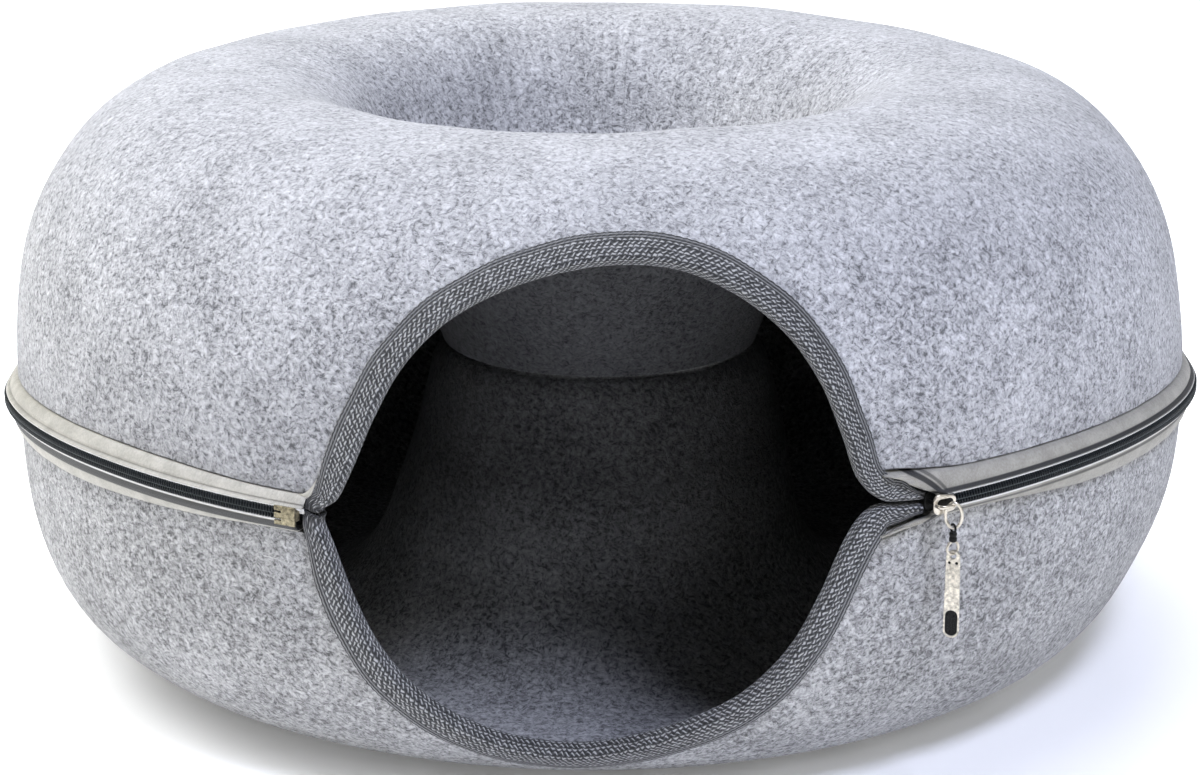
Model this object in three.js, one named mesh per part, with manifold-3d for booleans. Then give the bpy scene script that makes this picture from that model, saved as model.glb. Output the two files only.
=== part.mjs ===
// Felt cat tunnel: a ring-shaped bed pressed from two felt shells that a zip joins round the outside.
// Millimetres. The floor is z = 0 and the side entrance faces -Y. The ring is drawn round the Z axis,
// then moved so that the Z axis stands in the middle of the whole footprint.
import * as THREE from "three";
import { mergeVertices } from "three/addons/utils/BufferGeometryUtils.js";
import Module from "manifold-3d";

const wasm = await Module();
wasm.setup();

// Felt
const FELT = 5; // thickness of both shells
const HEIGHT = 284; // floor to crown
const WALL_RADIUS = 292.7; // outside of the felt at the zip
const ZIP_HEIGHT = 133.8; // mean level at which the wall is widest
const CROWN_RADIUS = 169;
const UPPER_POWER = 2.55; // squareness of the upper shoulder
const BASE_RADIUS = 194.3;
const LOWER_POWER = 2.44; // squareness of the lower shoulder
const LIP_RADIUS = 60; // roll from the crown into the bowl
const BOWL_EDGE = [74.5, 146.2]; // radius and level of the bowl's cut edge
const HUMP_TOP = 145.8;
const HUMP_LOW = [101, 71]; // two points on the hump's side, in the tunnel
const HUMP_HIGH = [85, 136];
const HUMP_SHOULDER = 10;
const FLARE_RADIUS = 70; // from the hump's side into the tunnel floor

// Level of the zip line: degrees round from the entrance, plus to the right, and millimetres.
const ZIP_LINE = [
  [-120, 135], [-90, 124.7], [-75, 131.3], [-60, 136.8], [-45, 139.5], [-15, 138.6], [0, 138.5],
  [15, 140.1], [30, 142.5], [45, 143.8], [60, 142.2], [75, 137.5], [90, 131.4], [120, 138],
  [180, 138], [240, 135],
];
// Sideways lean of the soft body: level and millimetres.
const LEAN = [[0, -1.5], [50, -0.8], [100, 2.4], [150, 2.1], [190, 1.1], [284, 0.2]];

// Side entrance: degrees from its middle and millimetres up the wall from the zip line.
const UPPER_EDGE = [
  [-24.4, 0.4], [-24.3, 1.9], [-23.2, 5.5], [-21.65, 20], [-19.45, 46], [-16.95, 71], [-13.4, 92.4],
  [-8.7, 108], [-3.5, 118], [2.1, 122.4], [7.7, 119], [12.7, 105.3], [16.7, 85.3], [19.4, 61],
  [21.1, 34.7], [22.4, 14], [24.3, 3.6], [26, 1.6], [28.2, 0.4],
];
const LOWER_EDGE = [
  [-24.2, -1.2], [-24.4, -3.6], [-23.6, -14.6], [-21.9, -37], [-19.4, -61], [-16, -82],
  [-11.8, -99.2], [-6.9, -111.8], [-1.4, -116], [3.9, -109], [9, -97.5], [13.5, -83],
  [16.95, -61.6], [19.15, -37], [21.25, -13], [22.8, -3], [24.3, 0.6], [26, -0.5], [28.2, -1.4],
];
// Distance from the zip line to each shell's own edge, by degrees.
const UPPER_GAP = [
  [-120, 10.5], [-60, 10.5], [-42, 10], [-28, 8], [0, 9], [24, 17], [26, 16.5], [28.5, 14.5],
  [32, 12.4], [45, 11], [60, 10.5], [240, 10.5],
];
const LOWER_GAP = [
  [-120, 13], [-60, 15], [-50, 14.5], [-37, 11.8], [-28, 9.5], [0, 10], [24.5, 14], [28.2, 9.8],
  [34, 8.2], [42, 10.8], [48, 13], [60, 14], [120, 13], [240, 13],
];

// Binding
const BINDING = 1.2;
// Its width by share of its length, from the left.
const UPPER_WIDTHS = [[0, 12.3], [0.3, 12.5], [0.5, 13.8], [0.68, 12.5], [0.85, 10.7], [1, 10.7]];
const LOWER_WIDTHS = [[0, 12.5], [1, 12.5]];
const BINDING_ENDS = [7.5, 4.2]; // width at the left and right ends
const UPPER_TAPERS = [30, 15]; // lengths over which it narrows there
const LOWER_TAPERS = [30, 30];
const BINDING_STEPS = 42;

// Zip
const CLEARANCE = 0.3; // between pieces that lie on each other
const INNER_CLEARANCE = 1.1; // on the tunnel side
const TAPE = 1;
const RIDGE_RADIUS = 300; // the coil's outside
const COIL_HEIGHT = 2.6;
const COIL_DEPTH = 2.7;
const SLIDER_ANGLE = 29.5;
const STOP_ANGLE = -26.6;
const UPPER_TAPE_ENDS = [26.1, -25.4]; // degrees, at the slider and at the stop
const LOWER_TAPE_ENDS = [26, -26.4];
const COIL_ENDS = [29.1, -26.4];
// Zip tape across: millimetres out from the wall, then height as a share of the felt's gap plus
// millimetres. The first two lie inside the felt and the last two behind the coil.
const TAPE_ACROSS = [
  [-7.4, 1, 6], [-6.2, 1, -1.15], [1.2, 1, -1.3], [4.9, 0.5, 1.6], [5.3, 0.2, 2.3], [3.5, 0, 2.6],
  [3.3, 0, 0.4],
];
const TAPE_HELD = 3; // of those, how many stay on the felt where the tape runs open
// Height at which each open tape end lies against the binding, by degrees.
const UPPER_OPEN = [[25.6, 15.5], [26.4, 13], [27.4, 7], [28.2, 5]];
const LOWER_OPEN = [[25.5, 8.5], [27.9, 5.5]];

// Zip fittings, each in its own frame: x along the zip, -y outwards, z up.
const SLIDER_LENGTH = 11.5;
const SLIDER_WIDTH = 9.4;
const PLATE = 1.4;
const BRIDGE_SPAN = 9.6;
const BRIDGE_SHIFT = -0.8;
const BRIDGE_RISE = 3.5;
const BRIDGE_BAR = 1.2;
const RING_HALF = [3.55, 5]; // middle of the wire, across and up
const RING_WIRE = 0.75; // radius
const RING_TWIST = 40;
const RING_SHIFT = 0.8;
const LOOP_HALF = [2.3, 2.4];
const LOOP_WIRE = 0.6;
const TAB_LENGTH = 40.5;
const TAB_WIDTHS = [5.4, 6.8]; // top and bottom
const TAB = 1.5;

const SHELL_ANGLES = ringAngles();
const TWICE_ROUND = [...SHELL_ANGLES, ...SHELL_ANGLES.map((angle) => angle + 360)];

// Angles round the ring from the entrance, closer together at the front.
function ringAngles() {
  const angles = [];
  for (let i = -8; i < 8; i += 1) {
    angles.push(i * 4.5);
  }
  for (let i = 0; i < 40; i += 1) {
    angles.push(36 + i * 7.2);
  }
  return angles;
}

// Smooth value between the rows of a short table.
function between(table, x) {
  const last = table.length - 1;
  if (x <= table[0][0]) {
    return table[0][1];
  }
  if (x >= table[last][0]) {
    return table[last][1];
  }
  let i = 0;
  while (table[i + 1][0] < x) {
    i += 1;
  }
  const slope = (k) => {
    const a = table[Math.max(k - 1, 0)];
    const b = table[Math.min(k + 1, last)];
    return (b[1] - a[1]) / (b[0] - a[0]);
  };
  const [x0, y0] = table[i];
  const [x1, y1] = table[i + 1];
  const span = x1 - x0;
  const t = (x - x0) / span;
  const bend = slope(i) * span * (t ** 3 - 2 * t * t + t) + slope(i + 1) * span * (t ** 3 - t * t);
  return y0 * (2 * t ** 3 - 3 * t * t + 1) + y1 * (3 * t * t - 2 * t ** 3) + bend;
}

function ease(x) {
  const t = THREE.MathUtils.clamp(x, 0, 1);
  return t * t * (3 - 2 * t);
}

// Point of the soft body from radius, degrees from the entrance and level.
function place(radius, degrees, level) {
  const turn = THREE.MathUtils.degToRad(degrees);
  const span = level < ZIP_HEIGHT ? ZIP_HEIGHT : HEIGHT - ZIP_HEIGHT;
  const nearZip = ease(1 - Math.abs(level - ZIP_HEIGHT) / span) * ease((radius - 190) / 70);
  const around = degrees > 240 ? degrees - 360 : degrees;
  const rise = (between(ZIP_LINE, around) - ZIP_HEIGHT) * nearZip;
  const x = radius * Math.sin(turn) + between(LEAN, level);
  return new THREE.Vector3(x, -radius * Math.cos(turn), level + rise);
}

// Quarter of a rounded square, from its side to its top or foot.
function shoulder(middle, foot, power, steps) {
  const points = [];
  for (let i = 0; i <= steps; i += 1) {
    const t = ((i / steps) * Math.PI) / 2;
    const out = Math.cos(t) ** (2 / power) * (WALL_RADIUS - middle);
    const along = Math.sin(t) ** (2 / power) * (foot - ZIP_HEIGHT);
    points.push([middle + out, ZIP_HEIGHT + along]);
  }
  return points;
}

function arc(centre, radius, from, to, steps) {
  const points = [];
  for (let i = 0; i <= steps; i += 1) {
    const t = THREE.MathUtils.degToRad(from + ((to - from) * i) / steps);
    points.push([centre[0] + radius * Math.cos(t), centre[1] + radius * Math.sin(t)]);
  }
  return points;
}

// The line moved sideways, to the right of its direction.
function beside(points, distance) {
  return points.map((point, i) => {
    const a = points[Math.max(i - 1, 0)];
    const b = points[Math.min(i + 1, points.length - 1)];
    const length = Math.hypot(b[0] - a[0], b[1] - a[1]);
    const side = [(b[1] - a[1]) / length, (a[0] - b[0]) / length];
    return [point[0] + side[0] * distance, point[1] + side[1] * distance];
  });
}

// Even spacing along a line, by length.
function spaced(points, steps) {
  const path = new THREE.CurvePath();
  for (let i = 1; i < points.length; i += 1) {
    const a = new THREE.Vector3(points[i - 1][0], points[i - 1][1], 0);
    const b = new THREE.Vector3(points[i][0], points[i][1], 0);
    path.add(new THREE.LineCurve3(a, b));
  }
  return path.getSpacedPoints(steps).map((p) => [p.x, p.y]);
}

// Wall from the zip line over the crown, then under the base: outside of the felt.
const UPPER_WALL = spaced(shoulder(CROWN_RADIUS, HEIGHT, UPPER_POWER, 90), 200);
const LOWER_WALL = spaced(shoulder(BASE_RADIUS, 0, LOWER_POWER, 90), 200);
const UPPER_LENGTH = lengthOf(UPPER_WALL);
const LOWER_LENGTH = lengthOf(LOWER_WALL);

function lengthOf(points) {
  let total = 0;
  for (let i = 1; i < points.length; i += 1) {
    total += Math.hypot(points[i][0] - points[i - 1][0], points[i][1] - points[i - 1][1]);
  }
  return total;
}

// Radius and level on the wall at a distance up it from the zip line, and height over the felt.
function onWall(distance, over) {
  const wall = distance < 0 ? LOWER_WALL : UPPER_WALL;
  const whole = distance < 0 ? LOWER_LENGTH : UPPER_LENGTH;
  const spot = THREE.MathUtils.clamp(Math.abs(distance) / whole, 0, 0.999) * (wall.length - 1);
  const i = Math.floor(spot);
  const t = spot - i;
  const a = wall[i];
  const b = wall[i + 1];
  const before = wall[Math.max(i - 1, 0)];
  const after = wall[Math.min(i + 2, wall.length - 1)];
  const length = Math.hypot(after[0] - before[0], after[1] - before[1]);
  const sense = distance < 0 ? -1 : 1;
  const out = [(sense * (after[1] - before[1])) / length, (sense * (before[0] - after[0])) / length];
  return [a[0] + (b[0] - a[0]) * t + out[0] * over, a[1] + (b[1] - a[1]) * t + out[1] * over];
}

function wallPoint(degrees, distance, over) {
  const [radius, level] = onWall(distance, over);
  return place(radius, degrees, level);
}

// Closed body from rings of points, joined last to first when round, or else with a lid at each end.
function body(rings, round, strip = false) {
  const size = rings[0].length;
  const position = [];
  rings.flat().forEach((p) => position.push(p.x, p.y, p.z));
  const index = [];
  const count = round ? rings.length : rings.length - 1;
  for (let i = 0; i < count; i += 1) {
    const a = i * size;
    const b = ((i + 1) % rings.length) * size;
    for (let j = 0; j < size; j += 1) {
      const k = (j + 1) % size;
      index.push(a + j, a + k, b + k, a + j, b + k, b + j);
    }
  }
  if (!round) {
    capEnds(rings, index, size, strip);
  }
  const geometry = new THREE.BufferGeometry();
  geometry.setAttribute("position", new THREE.Float32BufferAttribute(position, 3));
  geometry.setIndex(index);
  return facingOut(withoutSlivers(mergeVertices(geometry, 1e-4)));
}

// Where rings meet in a point, the faces with two corners there go.
function withoutSlivers(geometry) {
  const old = geometry.getIndex().array;
  const index = [];
  for (let i = 0; i < old.length; i += 3) {
    const [a, b, c] = [old[i], old[i + 1], old[i + 2]];
    if (a !== b && b !== c && c !== a) {
      index.push(a, b, c);
    }
  }
  geometry.setIndex(index);
  return geometry;
}

// Flat lids on the first and last ring, cut to the ring's own outline.
function capEnds(rings, index, size, strip) {
  [0, rings.length - 1].forEach((which) => {
    const ring = rings[which];
    const middle = ring.reduce((sum, p) => sum.add(p), new THREE.Vector3()).divideScalar(size);
    const across = ring[0].clone().sub(middle).normalize();
    const normal = new THREE.Vector3();
    ring.forEach((p, j) => {
      const next = ring[(j + 1) % size];
      normal.add(p.clone().sub(middle).cross(next.clone().sub(middle)));
    });
    normal.normalize();
    const up = normal.clone().cross(across);
    const flat = ring.map((p) => {
      const d = p.clone().sub(middle);
      return new THREE.Vector2(d.dot(across), d.dot(up));
    });
    const faces = strip ? stripFaces(size) : THREE.ShapeUtils.triangulateShape(flat, []);
    const turned = strip || THREE.ShapeUtils.area(flat) > 0;
    faces.forEach(([a, b, c]) => {
      const base = which * size;
      const first = (which === 0) === turned;
      index.push(...(first ? [base + a, base + c, base + b] : [base + a, base + b, base + c]));
    });
  });
}

// Faces between the two long sides of a thin outline that runs out along one and back on the other.
function stripFaces(size) {
  const faces = [];
  for (let j = 0; j < size / 2 - 1; j += 1) {
    faces.push([j, j + 1, size - 2 - j], [j, size - 2 - j, size - 1 - j]);
  }
  return faces;
}

function volumeOf(geometry) {
  const p = geometry.getAttribute("position");
  const index = geometry.getIndex().array;
  const [a, b, c] = [new THREE.Vector3(), new THREE.Vector3(), new THREE.Vector3()];
  let total = 0;
  for (let i = 0; i < index.length; i += 3) {
    a.fromBufferAttribute(p, index[i]);
    b.fromBufferAttribute(p, index[i + 1]);
    c.fromBufferAttribute(p, index[i + 2]);
    total += a.dot(b.cross(c)) / 6;
  }
  return total;
}

function facingOut(geometry) {
  if (volumeOf(geometry) < 0) {
    const index = geometry.getIndex().array;
    for (let i = 0; i < index.length; i += 3) {
      [index[i + 1], index[i + 2]] = [index[i + 2], index[i + 1]];
    }
  }
  return geometry;
}

function solid(geometry) {
  const bare = geometry.clone();
  bare.deleteAttribute("normal");
  bare.deleteAttribute("uv");
  const merged = facingOut(mergeVertices(bare, 1e-4));
  const vertProperties = new Float32Array(merged.getAttribute("position").array);
  const triVerts = new Uint32Array(merged.getIndex().array);
  return new wasm.Manifold(new wasm.Mesh({ numProp: 3, vertProperties, triVerts }));
}

function geometryOf(manifold) {
  const mesh = manifold.getMesh();
  const geometry = new THREE.BufferGeometry();
  geometry.setAttribute("position", new THREE.Float32BufferAttribute(mesh.vertProperties, 3));
  geometry.setIndex(Array.from(mesh.triVerts));
  return geometry;
}

// Upper shell, outside: over the crown and down the bowl to its cut edge.
function upperSkin() {
  const wall = shoulder(CROWN_RADIUS, HEIGHT, UPPER_POWER, 60);
  const outer = spaced(wall.filter((p) => p[1] > ZIP_HEIGHT + 20), 10);
  const centre = [CROWN_RADIUS, HEIGHT - LIP_RADIUS];
  const away = [centre[0] - BOWL_EDGE[0], centre[1] - BOWL_EDGE[1]];
  const reach = Math.hypot(...away);
  const slope = Math.atan2(away[1], away[0]) + Math.asin(LIP_RADIUS / reach);
  const lip = arc(centre, LIP_RADIUS, 90, 90 + THREE.MathUtils.radToDeg(slope), 6).slice(1);
  const foot = lip[lip.length - 1];
  const half = [(foot[0] + BOWL_EDGE[0]) / 2, (foot[1] + BOWL_EDGE[1]) / 2];
  return [...outer, ...lip, half, BOWL_EDGE];
}

// Lower shell, underside: down the wall, across the base and up inside the hump.
function lowerSkin() {
  const wall = shoulder(BASE_RADIUS, 0, LOWER_POWER, 60);
  const outer = spaced(wall.filter((p) => p[1] < ZIP_HEIGHT - 20), 9);
  const tilt = Math.atan2(HUMP_LOW[0] - HUMP_HIGH[0], HUMP_HIGH[1] - HUMP_LOW[1]);
  const side = (level) => HUMP_LOW[0] - (level - HUMP_LOW[1]) * Math.tan(tilt);
  const degrees = THREE.MathUtils.radToDeg(tilt);
  const flareLevel = FELT + FLARE_RADIUS;
  const flare = [side(flareLevel) + FLARE_RADIUS / Math.cos(tilt), flareLevel];
  const topLevel = HUMP_TOP - HUMP_SHOULDER;
  const top = [side(topLevel) - HUMP_SHOULDER / Math.cos(tilt), topLevel];
  const rise = arc(flare, FLARE_RADIUS + FELT, 270, 180 + degrees, 5);
  const turn = arc(top, HUMP_SHOULDER - FELT, degrees, 90, 2);
  return [...outer, ...rise, ...turn, [0, HUMP_TOP - FELT]];
}

// One ring of a shell: its outside, then its tunnel side back again.
function shellLoop(skin, edge, side) {
  const outside = [edge, ...skin];
  const inside = beside(outside, side * FELT).reverse();
  inside[inside.length - 1][1] = edge[1];
  return [...outside, ...inside];
}

function upperShell() {
  const skin = upperSkin();
  const rings = SHELL_ANGLES.map((angle) => {
    const loop = shellLoop(skin, onWall(gapAt(UPPER_GAP, angle), 0), -1);
    loop[skin.length + 1][1] = BOWL_EDGE[1];
    return loop.map(([radius, level]) => place(radius, angle, level));
  });
  return body(rings, true);
}

function lowerShell() {
  const skin = lowerSkin();
  const rings = SHELL_ANGLES.map((angle) => {
    const loop = shellLoop(skin, onWall(-gapAt(LOWER_GAP, angle), 0), 1);
    loop[skin.length + 1][0] = 0;
    return loop.map(([radius, level]) => place(radius, angle, level));
  });
  return body(rings, true);
}

function gapAt(table, degrees) {
  return between(table, degrees > 240 ? degrees - 360 : degrees);
}

// The shell's edge runs straight from one of its angles to the next.
function edgeAt(table, degrees) {
  const next = TWICE_ROUND.findIndex((angle) => angle > degrees);
  const [a, b] = [TWICE_ROUND[next - 1], TWICE_ROUND[next]];
  return THREE.MathUtils.lerp(gapAt(table, a), gapAt(table, b), (degrees - a) / (b - a));
}

// Stations along the entrance's edge: where each is, and its direction away from the opening.
function edgeStations(table, upper, steps) {
  const scale = THREE.MathUtils.degToRad(WALL_RADIUS);
  const points = table.map(([degrees, up]) => new THREE.Vector3(degrees * scale, up, 0));
  const path = new THREE.CatmullRomCurve3(points, false, "centripetal");
  const sense = upper ? 1 : -1;
  const length = path.getLength();
  return path.getSpacedPoints(steps).map((p, i, all) => {
    const inner = [all[Math.max(i - 1, 0)], all[Math.min(i + 1, steps)]];
    const [before, after] = i === 0 ? points : i === steps ? points.slice(-2) : inner;
    const step = after.clone().sub(before).normalize();
    return {
      degrees: p.x / scale,
      up: p.y,
      away: [-step.y * sense, step.x * sense],
      left: (i / steps) * length,
      right: (1 - i / steps) * length,
    };
  });
}

// Point over the wall, a distance into the cloth from the entrance's edge.
function fromEdge(station, into, over) {
  const up = station.up + station.away[1] * into;
  const perDegree = THREE.MathUtils.degToRad(onWall(station.up, 0)[0]);
  return wallPoint(station.degrees + (station.away[0] * into) / perDegree, up, over);
}

// The tool that cuts the entrance square through both shells.
function entranceTool() {
  const into = BINDING + 1.5 * CLEARANCE;
  const stations = [
    ...edgeStations(UPPER_EDGE, true, BINDING_STEPS),
    ...edgeStations(LOWER_EDGE, false, BINDING_STEPS).reverse(),
  ];
  const outer = stations.map((s) => fromEdge(s, into, 14));
  const inner = stations.map((s) => fromEdge(s, into, -17));
  const front = new THREE.Vector3(0, -350, ZIP_HEIGHT);
  const back = new THREE.Vector3(0, -200, ZIP_HEIGHT);
  const rings = [outer.map(() => front), outer, inner, inner.map(() => back)];
  const index = [];
  const size = outer.length;
  for (let i = 0; i < 3; i += 1) {
    for (let j = 0; j < size; j += 1) {
      const [a, b, k] = [i * size, (i + 1) * size, (j + 1) % size];
      index.push(a + j, a + k, b + k, a + j, b + k, b + j);
    }
  }
  const geometry = new THREE.BufferGeometry().setFromPoints(rings.flat());
  geometry.setIndex(index);
  return solid(withoutSlivers(mergeVertices(geometry, 1e-4)));
}

// Tape folded round the felt's edge, narrower where it is gathered into the zip's ends.
function binding(table, upper) {
  const under = -FELT - INNER_CLEARANCE;
  const tapers = upper ? UPPER_TAPERS : LOWER_TAPERS;
  const widths = upper ? UPPER_WIDTHS : LOWER_WIDTHS;
  const rings = edgeStations(table, upper, BINDING_STEPS).map((station) => {
    const left = ease(station.left / tapers[0]);
    const right = ease(station.right / tapers[1]);
    const [narrowLeft, narrowRight] = BINDING_ENDS;
    const full = between(widths, station.left / (station.left + station.right));
    const fromLeft = narrowLeft + (full - narrowLeft) * left;
    const fromRight = narrowRight + (full - narrowRight) * right;
    const width = Math.min(fromLeft, fromRight);
    const top = CLEARANCE + BINDING;
    const across = [
      [width, CLEARANCE], [width, top], [width / 2, top], [1.8, top], [0.4, top - 0.9],
      [0, top - 2.4], [0, under + 1], [0.4, under - 0.3], [1.8, under - BINDING],
      [width - 1, under - BINDING], [width - 1, under], [BINDING, under], [BINDING, CLEARANCE],
      [width / 2, CLEARANCE],
    ];
    return across.map(([into, over]) => fromEdge(station, into, over));
  });
  return body(rings, false);
}

// Angles along a piece of the zip, from the slider round the back to the stop.
function zipAngles(ends, extra) {
  const last = ends[1] + 360;
  const inside = TWICE_ROUND.filter((angle) => angle > 31 && angle < last - 1);
  return [ends[0], ...extra, ...inside, last];
}

// A zip tape: sewn inside the felt's edge, out under it, over the ridge and in behind the coil.
function zipTape(upper) {
  const sense = upper ? 1 : -1;
  const ends = upper ? UPPER_TAPE_ENDS : LOWER_TAPE_ENDS;
  const gaps = upper ? UPPER_GAP : LOWER_GAP;
  const open = upper ? UPPER_OPEN : LOWER_OPEN;
  const rings = zipAngles(ends, [27.3, 28.2, 29, 30]).map((angle) => {
    const gap = edgeAt(gaps, angle);
    const opened = angle < 90 ? ease((30.2 - angle) / 2.2) : 0;
    const foot = between(open, angle) + 0.6;
    const line = TAPE_ACROSS.map(([out, share, more], i) => {
      const up = share * gap + more;
      const turn = (i - TAPE_HELD + 1) / (TAPE_ACROSS.length - TAPE_HELD);
      if (turn <= 0) {
        return [out, up];
      }
      const lifted = THREE.MathUtils.lerp(gap - 1.3, foot, turn);
      return [THREE.MathUtils.lerp(out, 3.3, opened), THREE.MathUtils.lerp(up, lifted, opened)];
    });
    const loop = [...beside(line, TAPE / 2), ...beside(line, -TAPE / 2).reverse()];
    return loop.map(([out, up]) => place(WALL_RADIUS + out, angle, ZIP_HEIGHT + sense * up));
  });
  return body(rings, false, true);
}

// One half of the closed chain.
function zipCoil(upper) {
  const sense = upper ? 1 : -1;
  const low = CLEARANCE / 2;
  const high = low + COIL_HEIGHT;
  const inner = RIDGE_RADIUS - COIL_DEPTH;
  const across = [
    [inner, low], [inner, high - 0.5], [inner + 0.6, high], [RIDGE_RADIUS - 0.8, high],
    [RIDGE_RADIUS, high - 0.9], [RIDGE_RADIUS, low + 0.6], [RIDGE_RADIUS - 0.6, low],
  ];
  const rings = zipAngles(COIL_ENDS, [30]).map((angle) =>
    across.map(([radius, up]) => place(radius, angle, ZIP_HEIGHT + sense * up)),
  );
  return body(rings, false);
}

function box(x, y, z) {
  const geometry = new THREE.BoxGeometry(x[1] - x[0], y[1] - y[0], z[1] - z[0]);
  return solid(geometry.translate((x[0] + x[1]) / 2, (y[0] + y[1]) / 2, (z[0] + z[1]) / 2));
}

// Flat plate drawn as seen from the front, its back face at y.
function plate(shape, y, thickness, bevel) {
  const geometry = new THREE.ExtrudeGeometry(shape, {
    depth: thickness - 2 * bevel,
    bevelEnabled: bevel > 0,
    bevelThickness: bevel,
    bevelSize: bevel,
    bevelOffset: -bevel,
    bevelSegments: 1,
    curveSegments: 5,
  });
  return solid(geometry.rotateX(Math.PI / 2).translate(0, y - bevel, 0));
}

function ovalLink(half, wire, sides) {
  const turns = new THREE.TorusGeometry(1, wire, 6, sides);
  const p = turns.getAttribute("position");
  for (let i = 0; i < p.count; i += 1) {
    const angle = Math.atan2(p.getY(i), p.getX(i));
    const over = Math.hypot(p.getX(i), p.getY(i)) - 1;
    const x = Math.cos(angle) * (half[0] + over);
    const z = Math.sin(angle) * (half[1] + over);
    p.setXYZ(i, x, -p.getZ(i), z);
  }
  return turns;
}

function roundedRect(width, top, bottom, radius) {
  const [w, r] = [width / 2, radius];
  const shape = new THREE.Shape();
  shape.moveTo(-w + r, bottom);
  shape.lineTo(w - r, bottom);
  shape.quadraticCurveTo(w, bottom, w, bottom + r);
  shape.lineTo(w, top - r);
  shape.quadraticCurveTo(w, top, w - r, top);
  shape.lineTo(-w + r, top);
  shape.quadraticCurveTo(-w, top, -w, top - r);
  shape.lineTo(-w, bottom + r);
  shape.quadraticCurveTo(-w, bottom, -w + r, bottom);
  return shape;
}

// Slider: front and back plates joined by a post at the open end, with a bridge on the front.
function slider() {
  const [half, wide] = [SLIDER_LENGTH / 2, SLIDER_WIDTH / 2];
  const front = -CLEARANCE - 0.1;
  const face = front - PLATE;
  const outline = roundedRect(SLIDER_LENGTH, wide, -wide, 3);
  const bar = [BRIDGE_SHIFT - BRIDGE_SPAN / 2, BRIDGE_SHIFT + BRIDGE_SPAN / 2];
  const parts = [
    plate(outline, front, PLATE, 0.35),
    plate(outline, 6.2, 1.2, 0),
    box([-half + 0.6, -3], [front - 0.5, 5.6], [-0.9, 0.9]),
    box([-half + 1.5, half - 1.5], [front - 0.3, 0.2], [wide - 1.3, wide - 0.1]),
    box([-half + 1.5, half - 1.5], [front - 0.3, 0.2], [-wide + 0.1, -wide + 1.3]),
    box(bar, [face - BRIDGE_RISE - BRIDGE_BAR, face - BRIDGE_RISE], [-0.9, 0.9]),
    box([bar[0], bar[0] + 1.2], [face - BRIDGE_RISE - 0.5, face + 0.5], [-0.9, 0.9]),
    box([bar[1] - 1.2, bar[1]], [face - BRIDGE_RISE - 0.5, face + 0.5], [-0.9, 0.9]),
  ];
  return geometryOf(parts.reduce((whole, part) => whole.add(part)));
}

const BAR_FRONT = CLEARANCE + 0.1 + PLATE + BRIDGE_RISE + BRIDGE_BAR;
const PULL_OUT = BAR_FRONT - 0.6; // middle of the pull, out from the ridge
const RING_LEVEL = 1.5 + CLEARANCE + RING_WIRE - RING_HALF[1];
const SWIVEL_LEVEL = RING_LEVEL - RING_HALF[1] + RING_WIRE + CLEARANCE + LOOP_WIRE;
const SWIVEL_LENGTH = 16.5;
const EYE_LEVEL = SWIVEL_LEVEL - SWIVEL_LENGTH - LOOP_WIRE - CLEARANCE + 1.3;

function pullRing() {
  const link = ovalLink(RING_HALF, RING_WIRE, 20);
  link.rotateZ(THREE.MathUtils.degToRad(-RING_TWIST));
  return geometryOf(solid(link.translate(RING_SHIFT, -PULL_OUT, RING_LEVEL)));
}

// Swivel: a loop for the ring, a barrel, and a loop for the tab.
function pullSwivel() {
  const upper = ovalLink(LOOP_HALF, LOOP_WIRE, 14).rotateZ(Math.PI / 2);
  const lower = upper.clone();
  const reach = LOOP_HALF[1];
  upper.translate(0, 0, SWIVEL_LEVEL - reach);
  lower.translate(0, 0, SWIVEL_LEVEL - SWIVEL_LENGTH + reach);
  const length = SWIVEL_LENGTH - 4 * reach + 1.4;
  const barrel = new THREE.CylinderGeometry(1.7, 1.7, length, 12).rotateX(Math.PI / 2);
  barrel.translate(0, 0, SWIVEL_LEVEL - SWIVEL_LENGTH / 2);
  const whole = solid(upper).add(solid(lower)).add(solid(barrel));
  return geometryOf(whole).translate(RING_SHIFT, -PULL_OUT, 0);
}

// Tab with an eye at the top, two dimples below it and a recess at its foot.
function pullTab() {
  const [top, foot] = TAB_WIDTHS.map((width) => width / 2);
  const high = EYE_LEVEL + 2.4;
  const low = high - TAB_LENGTH;
  const shape = new THREE.Shape();
  shape.moveTo(-top, high - top);
  shape.absarc(0, high - top, top, Math.PI, 0, true);
  shape.lineTo(foot, low + foot);
  shape.absarc(0, low + foot, foot, 0, Math.PI, true);
  const eye = new THREE.Path();
  eye.absarc(0, EYE_LEVEL, 1.3, 0, Math.PI * 2, false);
  shape.holes.push(eye);
  let tab = plate(shape, TAB / 2, TAB, 0);
  const recess = roundedRect(foot * 2 - 2, low + 13, low + 1.4, 2.2);
  tab = tab.subtract(plate(recess, -TAB / 2 + 0.5, 1, 0));
  [-1.5, 1.5].forEach((x) => {
    const dimple = new THREE.CylinderGeometry(0.6, 0.6, 1, 8);
    dimple.translate(x, -TAB / 2, EYE_LEVEL - 4.2);
    tab = tab.subtract(solid(dimple));
  });
  return geometryOf(tab).translate(RING_SHIFT, -PULL_OUT, 0);
}

// Stop: a clamp over the chain's end, with three prongs toward the chain.
function stop() {
  const shape = new THREE.Shape();
  const outline = [
    [-5.5, 4.2], [-5.5, 2.2], [-1.8, 2.2], [-1.8, 1.2], [-5.5, 1.2], [-5.5, -1.2], [-1.8, -1.2],
    [-1.8, -2.2], [-5.5, -2.2], [-5.5, -4.2], [5, -4.2], [5, 4.2],
  ];
  shape.setFromPoints(outline.map(([x, z]) => new THREE.Vector2(x, z)));
  const cover = plate(shape, -CLEARANCE, 1.4, 0);
  return geometryOf(cover.add(box([1.4, 4.6], [-0.8, 2.9], [-2.6, 2.6])));
}

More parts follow.
